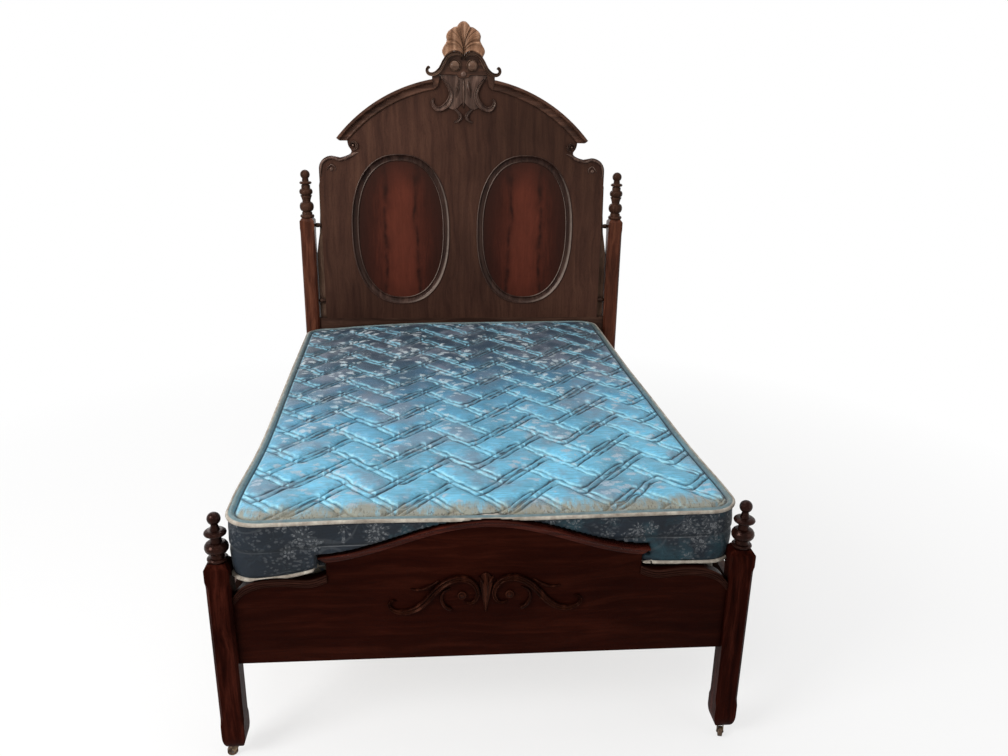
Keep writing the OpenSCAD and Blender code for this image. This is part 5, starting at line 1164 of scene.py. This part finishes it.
# how far a point lies inside a rounded outline
def inside(x, y, a, b, r):
    qx, qy = np.abs(x) - (a - r), np.abs(y) - (b - r)
    out = np.hypot(np.maximum(qx, 0), np.maximum(qy, 0)) + np.minimum(np.maximum(qx, qy), 0) - r
    return -out


def planPoints(fx, fy, a, b, r):
    u = np.maximum(0, (np.abs(fx) * a - a + r) / r)
    v = np.maximum(0, (np.abs(fy) * b - b + r) / r)
    both = u * v > 0
    x = np.where(both, a - r + r * u * np.sqrt(np.maximum(1 - v * v / 2, 0)), np.abs(fx) * a)
    y = np.where(both, b - r + r * v * np.sqrt(np.maximum(1 - u * u / 2, 0)), np.abs(fy) * b)
    return np.sign(fx) * x, np.sign(fy) * y


def smoothed(grid, times):
    for _ in range(times):
        padded = np.pad(grid, 1, mode="edge")
        grid = (padded[:-2, 1:-1] + padded[2:, 1:-1] + padded[1:-1, :-2] + padded[1:-1, 2:] + 4
                * padded[1:-1, 1:-1]) / 8
    return grid


def readGrid(grid, xs, ys, x, y):
    i = np.clip((x - xs[0]) / (xs[1] - xs[0]), 0, len(xs) - 1.001)
    j = np.clip((y - ys[0]) / (ys[1] - ys[0]), 0, len(ys) - 1.001)
    i0, j0 = i.astype(int), j.astype(int)
    fi, fj = i - i0, j - j0
    fi, fj = fi * fi * (3 - 2 * fi), fj * fj * (3 - 2 * fj)
    return ((grid[j0, i0] * (1 - fi) + grid[j0, i0 + 1] * fi) * (1 - fj)
            + (grid[j0 + 1, i0] * (1 - fi) + grid[j0 + 1, i0 + 1] * fi) * fj)


# height of the swollen top over a plain plane, on a coarse grid
def topSwell(tree, look):
    xs = np.linspace(-look["a"], look["a"], 49)
    ys = np.linspace(-look["b"], look["b"], 65)
    turn = Matrix.Rotation(math.radians(look["turn"]), 4, "Z")
    middle = Vector((look["middle"][0] * mm, look["middle"][1] * mm, 0))
    grid = np.zeros((len(ys), len(xs)))
    for j, y in enumerate(ys):
        for i, x in enumerate(xs):
            place = turn @ Vector((x * mm, y * mm, 0)) + middle
            hit = tree.ray_cast(Vector((place.x, place.y, look["z1"] * mm + 0.3)), Vector((0, 0, -1)))[0]
            grid[j, i] = hit.z / mm - look["z1"] if hit is not None else -look["smaller"] / mm
    grid = smoothed(grid, 3)
    return grid - np.percentile(grid, 8), xs, ys


# place of a point across the rows of the zigzag channels, for each of the two families of lines
def stitchRows(x, y, quilt):
    rows = []
    for shiftX, shiftY in quilt["families"]:
        phase = (x - shiftX) * math.pi / quilt["half"]
        bend = np.arcsin(quilt["sharp"] * np.cos(phase)) / math.asin(quilt["sharp"]) * quilt["half"] / 2
        slope = np.abs(np.sin(phase)) * quilt["sharp"] / np.sqrt(1 - (quilt["sharp"] * np.cos(phase)) ** 2)
        slope *= math.pi / 2 / math.asin(quilt["sharp"])
        # the last value tells which leg of the zigzag a point lies on; the damask paints highlight and shade
        # by it
        rows.append((y - shiftY + quilt["half"] / 2 - bend - wander(x, y, 120, 41) * quilt["wave"],
                     1 / np.sqrt(1 + slope ** 2), np.clip(0.5 + 2 * np.sin(phase), 0, 1)))
    return rows


# distance in the plane to the nearest sewn line
def stitchGap(rows, quilt):
    near = np.full(rows[0][0].shape, 1e9)
    for at, flat, _ in rows:
        e = np.mod(at, quilt["row"])
        for place in (0, quilt["pair"], quilt["row"]):
            near = np.minimum(near, np.abs(e - place) * flat)
    return near


def roll(x):
    return np.clip(x, 0, 1) ** 2 * (3 - 2 * np.clip(x, 0, 1))


def wander(x, y, wave, seed):
    spin = np.random.default_rng(seed)
    total = np.zeros(x.shape)
    for _ in range(7):
        a, b, c = spin.uniform(0, 2 * math.pi), spin.uniform(0, 2 * math.pi), spin.uniform(0.6, 1.6)
        total += np.sin((x * math.cos(a) + y * math.sin(a)) * 2 * math.pi * c / wave + b)
    return total / 7


# the foot end gives way to the footboard: it folds back under the bulge and hangs free at the corners
def pressed(points, look):
    x, y, z = points.T / mm
    # sags at the right of the foot end, stands a little high along the head end, pinched up beside the cap
    up = (z - look["z0"]) / (look["z1"] - look["z0"])
    fore, aft = roll(-y / 950), roll((y - 150) / 750)
    z = z + up * (aft * (look["headLift"] * roll((x + 620) / 420) - 7 * roll((-x - 480) / 200))
                  - fore * look["sag"] * roll((x + 430) / 620))
    pinch = np.where(x < 0, look["pinch"][0],
                     look["pinch"][1]) * np.exp(-np.maximum(np.abs(x) - footCap["half"], 0) / 90)
    z = z + pinch * (1 - np.clip(up, 0, 1)) ** 1.5 * roll((-y - 860) / 60)
    out = np.exp(-(np.maximum(y + 885, 0) / 260) ** 2)
    x = x - look["nudge"][0] * out * roll((-x - 460) / 200) + look["nudge"][1] * out * roll((x - 460) / 200)
    shoulder = np.interp(np.abs(x), shoulderLine[:, 0], shoulderLine[:, 1])
    cap = footCap["endZ"] + footCap["rise"] * (1 + np.cos(math.pi * np.minimum(np.abs(x) / (footCap["half"]
                                                                                            * 1.04),
                                                                               1))) / 2
    level = np.where(np.abs(x) < footCap["half"] + 4, cap, 0) + 4
    beside = shoulder + 4 + (footCap["endZ"] - 596) * (1 - roll((np.abs(x) - footCap["half"]) / 16))
    level = np.maximum(level, beside)
    height = np.clip(look["z1"] - look["piping"] - level, 3, look["fold"])
    share = np.clip((z - level) / height, 0, 1)
    limit = look["backY"] - look["over"] * np.sqrt(1 - (1 - share) ** 2)
    # a fold of the border fills the pocket under each end of the cap
    under = footCap["endZ"] - footCap["high"] - 4
    fill = np.clip((z - shoulder - 4) / 16, 0, 1) * np.clip((under - z) / 10, 0, 1)
    pocket = (np.abs(x) > footCap["half"] - footCap["over"] + 4) & (np.abs(x) < footCap["half"] + 9)
    limit = np.where(pocket, np.minimum(limit, look["backY"] - 44 * np.sqrt(1 - (1 - fill) ** 2)), limit)
    return np.stack([x, np.maximum(y, limit), z], -1) * mm


def upholster(name, look):
    a, b, r, z0, z1 = look["a"], look["b"], look["r"], look["z0"], look["z1"]
    inset = look["piping"] * 0.62
    fx = np.linspace(-1, 1, look["across"])
    fy = np.linspace(-1, 1, look["along"])
    gx, gy = np.meshgrid(fx, fy)
    x, y = planPoints(gx, gy, a - inset, b - inset, r - inset)
    deep = inside(x, y, a - inset, b - inset, r - inset)
    if look["tree"] is not None:
        grid, xs, ys = topSwell(look["tree"], look)
        rise = readGrid(grid, xs, ys, x, y) * look["crown"] / max(1, grid.max())
    else:
        rise = look["crown"] * np.sqrt(np.maximum(0, (1 - (x / a) ** 4) * (1 - (y / b) ** 4)))
    top = rise * roll(deep / 60) + look["edgeRoll"] * np.sin(math.pi * np.clip(deep / look["seamIn"], 0,
                                                                               1)) \
        - 2.0 * (1 - roll(deep / 9))
    seam = np.abs(deep - look["seamIn"])
    channels = stitchRows(x, y, look["quilt"]) if look["quilt"] else [(x * 0 + 60, 1, x * 0)] * 2
    gap = np.minimum(np.where(deep > look["seamIn"],
                              stitchGap(channels, look["quilt"]) if look["quilt"] else 1e3, 1e3), seam)
    puff = 1 - np.exp(-(gap / look["puffWide"]) ** 0.9)
    flat = roll((gap - 2) / 30)
    soft = wander(x, y, 210, 3) * 1.4 + wander(x, y, 70, 5) * 0.7
    top += look["puff"] * (puff - 0.62) * roll(deep / 12) + (soft + 1.2 * flat) * roll((deep - 12) / 20)
    z = z1 + top
    verts = np.stack([x, y, z], -1).reshape(-1, 3)
    # past the seam the channels stop
    rowA, rowB = (np.where(deep > look["seamIn"], at,
                           look["quilt"]["row"] * 0.6 if look["quilt"] else 60).reshape(-1)
                  for at, _, _ in channels)
    front = np.clip((-y.reshape(-1) - (b - 110)) / 85, 0, 1) * np.clip((deep.reshape(-1) - 9) / 8, 0, 1)
    edge = np.clip((look["seamIn"] - 1 - deep.reshape(-1)) / 4, 0, 1)
    nx, ny = look["across"], look["along"]
    rimIds = [(i, 0) for i in range(nx)] + [(nx - 1, j) for j in range(1, ny)] \
        + [(i, ny - 1) for i in range(nx - 2, -1, -1)] + [(0, j) for j in range(ny - 2, 0, -1)]
    # the border's cloth starts and ends at the middle of the head end
    start = nx + ny + nx // 2
    rimIds = rimIds[start:] + rimIds[:start]
    rimF = np.array([(fx[i], fy[j]) for i, j in rimIds])
    ox, oy = planPoints(rimF[:, 0], rimF[:, 1], a, b, r)
    nearX, nearY = planPoints(rimF[:, 0], rimF[:, 1], a - 20, b - 20, max(r - 20, 5))
    outX, outY = ox - nearX, oy - nearY
    size = np.hypot(outX, outY)
    outX, outY = outX / size, outY / size
    run = np.r_[0, np.cumsum(np.hypot(np.diff(ox), np.diff(oy)))]
    rows = look["rows"]
    sideVerts, sideA, sideB, folds = [], [], [], []
    pipeLow = look["piping"] * 1.0
    for k in range(rows):
        t = (k + 0.5) / rows
        zRow = z1 - pipeLow * 0.9 - t * (z1 - z0 - 1.8 * pipeLow)
        belly = look["belly"] * (math.sin(math.pi * t) ** 0.6)
        crease = look["crease"] * np.exp(-((t - 0.5 - 0.05 * wander(run, run * 0, 900, 11)) / 0.045) ** 2) \
            * (0.6 + 0.4 * wander(run, run * 0, 500, 12))
        folds.append((0.5 + 0.05 * wander(run, run * 0, 900, 11) - t) * (z1 - z0))
        slant = np.minimum(*(np.minimum(e, 150 - e) for e in (np.mod(run + t * 150, 150),
                                                              np.mod(run - t * 150, 150))))
        sewn = np.exp(-slant / 12) * look["sideSew"]
        waves = wander(run, run * 0 + t * 90, 130, 21) * look["sideWave"] * math.sin(math.pi * t)
        push = (-look["piping"] * 0.62 - look["drawn"] * (1 - math.sin(math.pi * t) ** 0.4)
                + belly - crease - sewn + waves)
        sideVerts.append(np.stack([ox + outX * push, oy + outY * push, np.full(len(ox), zRow)], -1))
        sideA.append(run + t * 150 if look["quilt"] else run * 0 + 60)
        sideB.append(run - t * 150 if look["quilt"] else run * 0 + 60)
    bottom = np.stack([ox - outX * (look["piping"] + 1), oy - outY * (look["piping"] + 1),
                       np.full(len(ox), z0 + 0.2)], -1)
    allVerts = np.concatenate([verts] + sideVerts + [bottom])
    n0, m = nx * ny, len(rimIds)
    faces, slots = [], []
    for j in range(ny - 1):
        for i in range(nx - 1):
            c = i + nx * j
            faces.append((c, c + 1, c + nx + 1, c + nx))
            slots.append(0)
    rim = [i + nx * j for i, j in rimIds]

    def ringAt(k, i):
        return rim[i % m] if k < 0 else n0 + k * m + i % m
    for k in range(-1, rows):
        for i in range(m):
            faces.append((ringAt(k, i), ringAt(k + 1, i), ringAt(k + 1, i + 1), ringAt(k, i + 1)))
            slots.append(1)
    faces.append(tuple(ringAt(rows, i) for i in range(m - 1, -1, -1)))
    slots.append(1)
    turn = math.radians(look["turn"])
    c, s = math.cos(turn), math.sin(turn)
    midX, midY = look["middle"]

    def put(points):
        out = np.stack([points[:, 0] * c - points[:, 1] * s + midX,
                        points[:, 0] * s + points[:, 1] * c + midY,
                        points[:, 2]], -1) * mm
        return pressed(out, look) if look["over"] else out
    placed = put(allVerts)
    piece = putMesh(name, placed, faces, look["materials"], look["slot"], slots)
    plain = np.full(m, 60.0)
    # legA and legB steer where the damask paints highlight and shade
    for key, values in (("rowA", np.concatenate([rowA] + sideA + [plain])),
                        ("rowB", np.concatenate([rowB] + sideB + [plain])),
                        ("seamGap", np.concatenate([seam.reshape(-1)] + [plain] * (rows + 1))),
                        ("age", np.concatenate([front] + [plain * 0] * (rows + 1))),
                        ("edge", np.concatenate([edge] + [plain * 0] * (rows + 1))),
                        ("fold", np.concatenate([gap.reshape(-1) * 0 + 60] + folds + [plain])),
                        ("legA", np.concatenate([channels[0][2].reshape(-1)] + [plain * 0] * (rows + 1))),
                        ("legB", np.concatenate([channels[1][2].reshape(-1)] + [plain * 0] * (rows + 1)))):
        piece.data.attributes.new(key, "FLOAT",
                                  "POINT").data.foreach_set("value", values.astype(np.float32))
    # piping, a round cord in its own cloth at both edges
    tubes = []
    for level in (z1 - look["piping"] * 0.5, z0 + look["piping"] * 0.5):
        rad = look["piping"] / 2
        sag = wander(run, run * 0, 420, 31) * look["pipeSag"]
        thick = rad * (1 + 0.05 * wander(run, run * 0, 24, 33))
        ringVerts, count = [], 12
        for i in range(m):
            for q in range(count):
                g = 2 * math.pi * q / count
                outwardBy = -rad + math.cos(g) * thick[i]
                ringVerts.append((ox[i] + outX[i] * outwardBy, oy[i] + outY[i] * outwardBy,
                                  level + sag[i] + math.sin(g) * thick[i]))
        ringVerts = np.array(ringVerts)
        ringFaces = [(i * count + q, ((i + 1) % m) * count + q, ((i + 1) % m) * count + (q + 1) % count,
                      i * count + (q + 1) % count) for i in range(m) for q in range(count)]
        tubes.append((put(ringVerts), ringFaces))
    putMesh(name + "_piping", *joined(tubes), [look["pipingFinish"]], look["slot"])
    return piece


mattress = {"a": 686.0, "b": 965.0, "r": 85.0, "z0": 588.0, "z1": 768.0, "turn": 1.9, "crown": 11.0,
            "middle": (-18.0, -33.0), "backY": -954.0, "over": 75.0, "fold": 34.0, "nudge": (21.0, 15.0),
            "sag": 12.0, "headLift": 15.0, "pinch": (34.0, 9.0),
            "piping": 11.0, "seamIn": 18.0, "edgeRoll": 2.5, "puff": 13.0, "puffWide": 9.0, "across": 457,
            "along": 643, "rows": 30, "belly": 3.5, "crease": 9.0, "sideSew": 1.2, "sideWave": 1.6,
            "drawn": 3.0,
            "pipeSag": 1.2, "smaller": 0.010, "voxel": 0.016, "pressure": 4.0, "stiff": 0.5, "cap": 0.012,
            "quilt": {"half": 150.0, "row": 166.0, "pair": 32.0, "sharp": 0.97, "wave": 7.0,
                      "families": [(-391.0, -782.0), (-474.0, -686.0)]},
            "materials": [finish["damaskTop"], finish["damaskSide"]], "pipingFinish": finish["piping"],
            "slot": "damask"}
spring = {"middle": (0.0, -0.5), "over": 0.0, "a": 675.0, "b": 929.0, "r": 45.0, "z0": 359.0, "z1": 588.0,
          "turn": 0.0, "crown": 0.0, "piping": 9.0, "seamIn": 20.0, "edgeRoll": 0.0, "puff": 0.0,
          "puffWide": 6.0, "across": 61, "along": 81, "rows": 16, "belly": 3.0, "crease": 0.0,
          "sideSew": 0.0, "sideWave": 1.2, "drawn": 3.0, "pipeSag": 0.0, "quilt": None,
          "materials": [finish["ticking"], finish["ticking"]], "pipingFinish": finish["piping"],
          "slot": "spring_ticking"}
mattress["tree"] = swell("mattress", mattress)
spring["tree"] = None
cover = upholster("mattress_cover", mattress)
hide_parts("mattress")
base = upholster("box_spring_cover", spring)
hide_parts("box_spring")
print("mattress and box spring sewn")


# camera at the photograph's place
view = {"place": (-0.1277, -3.0037, 1.8385), "turn": 0.0831, "down": 0.3275, "lean": 0.0167, "lens": 30.13}
lens = bpy.data.cameras.new("camera")
lens.sensor_width = 36.0
lens.lens = view["lens"]
camera = bpy.data.objects.new("camera", lens)
bpy.context.scene.collection.objects.link(camera)
ahead = Vector((math.sin(view["turn"]) * math.cos(view["down"]),
                math.cos(view["turn"]) * math.cos(view["down"]),
                -math.sin(view["down"])))
across = Vector((math.cos(view["turn"]), -math.sin(view["turn"]), 0))
upward = across.cross(ahead)
rightWay = across * math.cos(view["lean"]) + upward * math.sin(view["lean"])
upWay = upward * math.cos(view["lean"]) - across * math.sin(view["lean"])
turned = Matrix((rightWay, upWay, -ahead)).transposed().to_4x4()
camera.matrix_world = Matrix.Translation(view["place"]) @ turned
bpy.context.scene.camera = camera

# pale floor that keeps the bed's shadow
floorMesh = bpy.data.meshes.new("floor")
floorMesh.from_pydata([(-14, -14, 0), (14, -14, 0), (14, 14, 0), (-14, 14, 0)], [], [(0, 1, 2, 3)])
floor = bpy.data.objects.new("floor", floorMesh)
bpy.context.scene.collection.objects.link(floor)
floor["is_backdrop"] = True
floorPaint = bpy.data.materials.new("floor_paint")
floorPaint.use_nodes = True
floorTree = floorPaint.node_tree
paint = floorTree.nodes["Principled BSDF"]
paint.inputs["Base Color"].default_value = (0.8, 0.8, 0.8, 1)
paint.inputs["Roughness"].default_value = 0.9
glow = add(floorTree, "Emission", Color=(1, 1, 1, 1), Strength=1.0)
mixed = floorTree.nodes.new("ShaderNodeMixShader")
path = floorTree.nodes.new("ShaderNodeLightPath")
away = add(floorTree, "VectorMath", operation="LENGTH")
floorTree.links.new(floorTree.nodes.new("ShaderNodeTexCoord").outputs["Object"], away.inputs[0])
seen = maths(floorTree, "MULTIPLY", maths(floorTree, "MAXIMUM", path.outputs["Is Camera Ray"],
                                     path.outputs["Is Glossy Ray"]),
             span(floorTree, away.outputs["Value"], 1.0, 3.2, 0.7, 1.0))
floorTree.links.new(seen, mixed.inputs[0])
floorTree.links.new(paint.outputs[0], mixed.inputs[1])
floorTree.links.new(glow.outputs[0], mixed.inputs[2])
floorTree.links.new(mixed.outputs[0], floorTree.nodes["Material Output"].inputs["Surface"])
floorMesh.materials.append(floorPaint)

# soft studio light
lamps = {
    "key": {"place": (-3.3, -3.0, 3.0), "aim": (0, 0.2, 0.9), "size": (2.0, 1.6), "watts": 190},
    "fill": {"place": (3.2, -3.0, 2.2), "aim": (0, 0, 0.9), "size": (2.4, 2.0), "watts": 25},
    "above": {"place": (-0.3, 0.0, 3.9), "aim": (0, 0.1, 0.6), "size": (2.6, 2.6), "watts": 55},
    "behind": {"place": (-1.5, 3.6, 2.8), "aim": (0, 0.6, 1.0), "size": (2.5, 1.6), "watts": 40},
}
for lampName, look in lamps.items():
    light = bpy.data.lights.new(lampName, "AREA")
    light.shape = "RECTANGLE"
    light.size, light.size_y = look["size"]
    light.energy = look["watts"]
    lamp = bpy.data.objects.new(lampName, light)
    bpy.context.scene.collection.objects.link(lamp)
    lamp.location = look["place"]
    lamp.rotation_euler = (Vector(look["aim"]) - Vector(look["place"])).to_track_quat("-Z", "Y").to_euler()

sky = bpy.data.worlds.new("sky")
bpy.context.scene.world = sky
sky.use_nodes = True
skyTree = sky.node_tree
backdrop = skyTree.nodes["Background"]
backdrop.inputs["Color"].default_value = (1.0, 0.98, 0.95, 1)
backdrop.inputs["Strength"].default_value = 0.33
white = add(skyTree, "Background", Color=(1, 1, 1, 1), Strength=1.0)
mixed = skyTree.nodes.new("ShaderNodeMixShader")
path = skyTree.nodes.new("ShaderNodeLightPath")
seen = maths(skyTree, "MAXIMUM", path.outputs["Is Camera Ray"],
             maths(skyTree, "MAXIMUM", path.outputs["Is Glossy Ray"],
                   path.outputs["Is Transmission Ray"]))
skyTree.links.new(seen, mixed.inputs[0])
skyTree.links.new(backdrop.outputs[0], mixed.inputs[1])
skyTree.links.new(white.outputs[0], mixed.inputs[2])
skyTree.links.new(mixed.outputs[0], skyTree.nodes["World Output"].inputs["Surface"])

bpy.context.scene.view_settings.view_transform = "Standard"
print("camera, floor and lamps placed")

low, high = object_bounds()
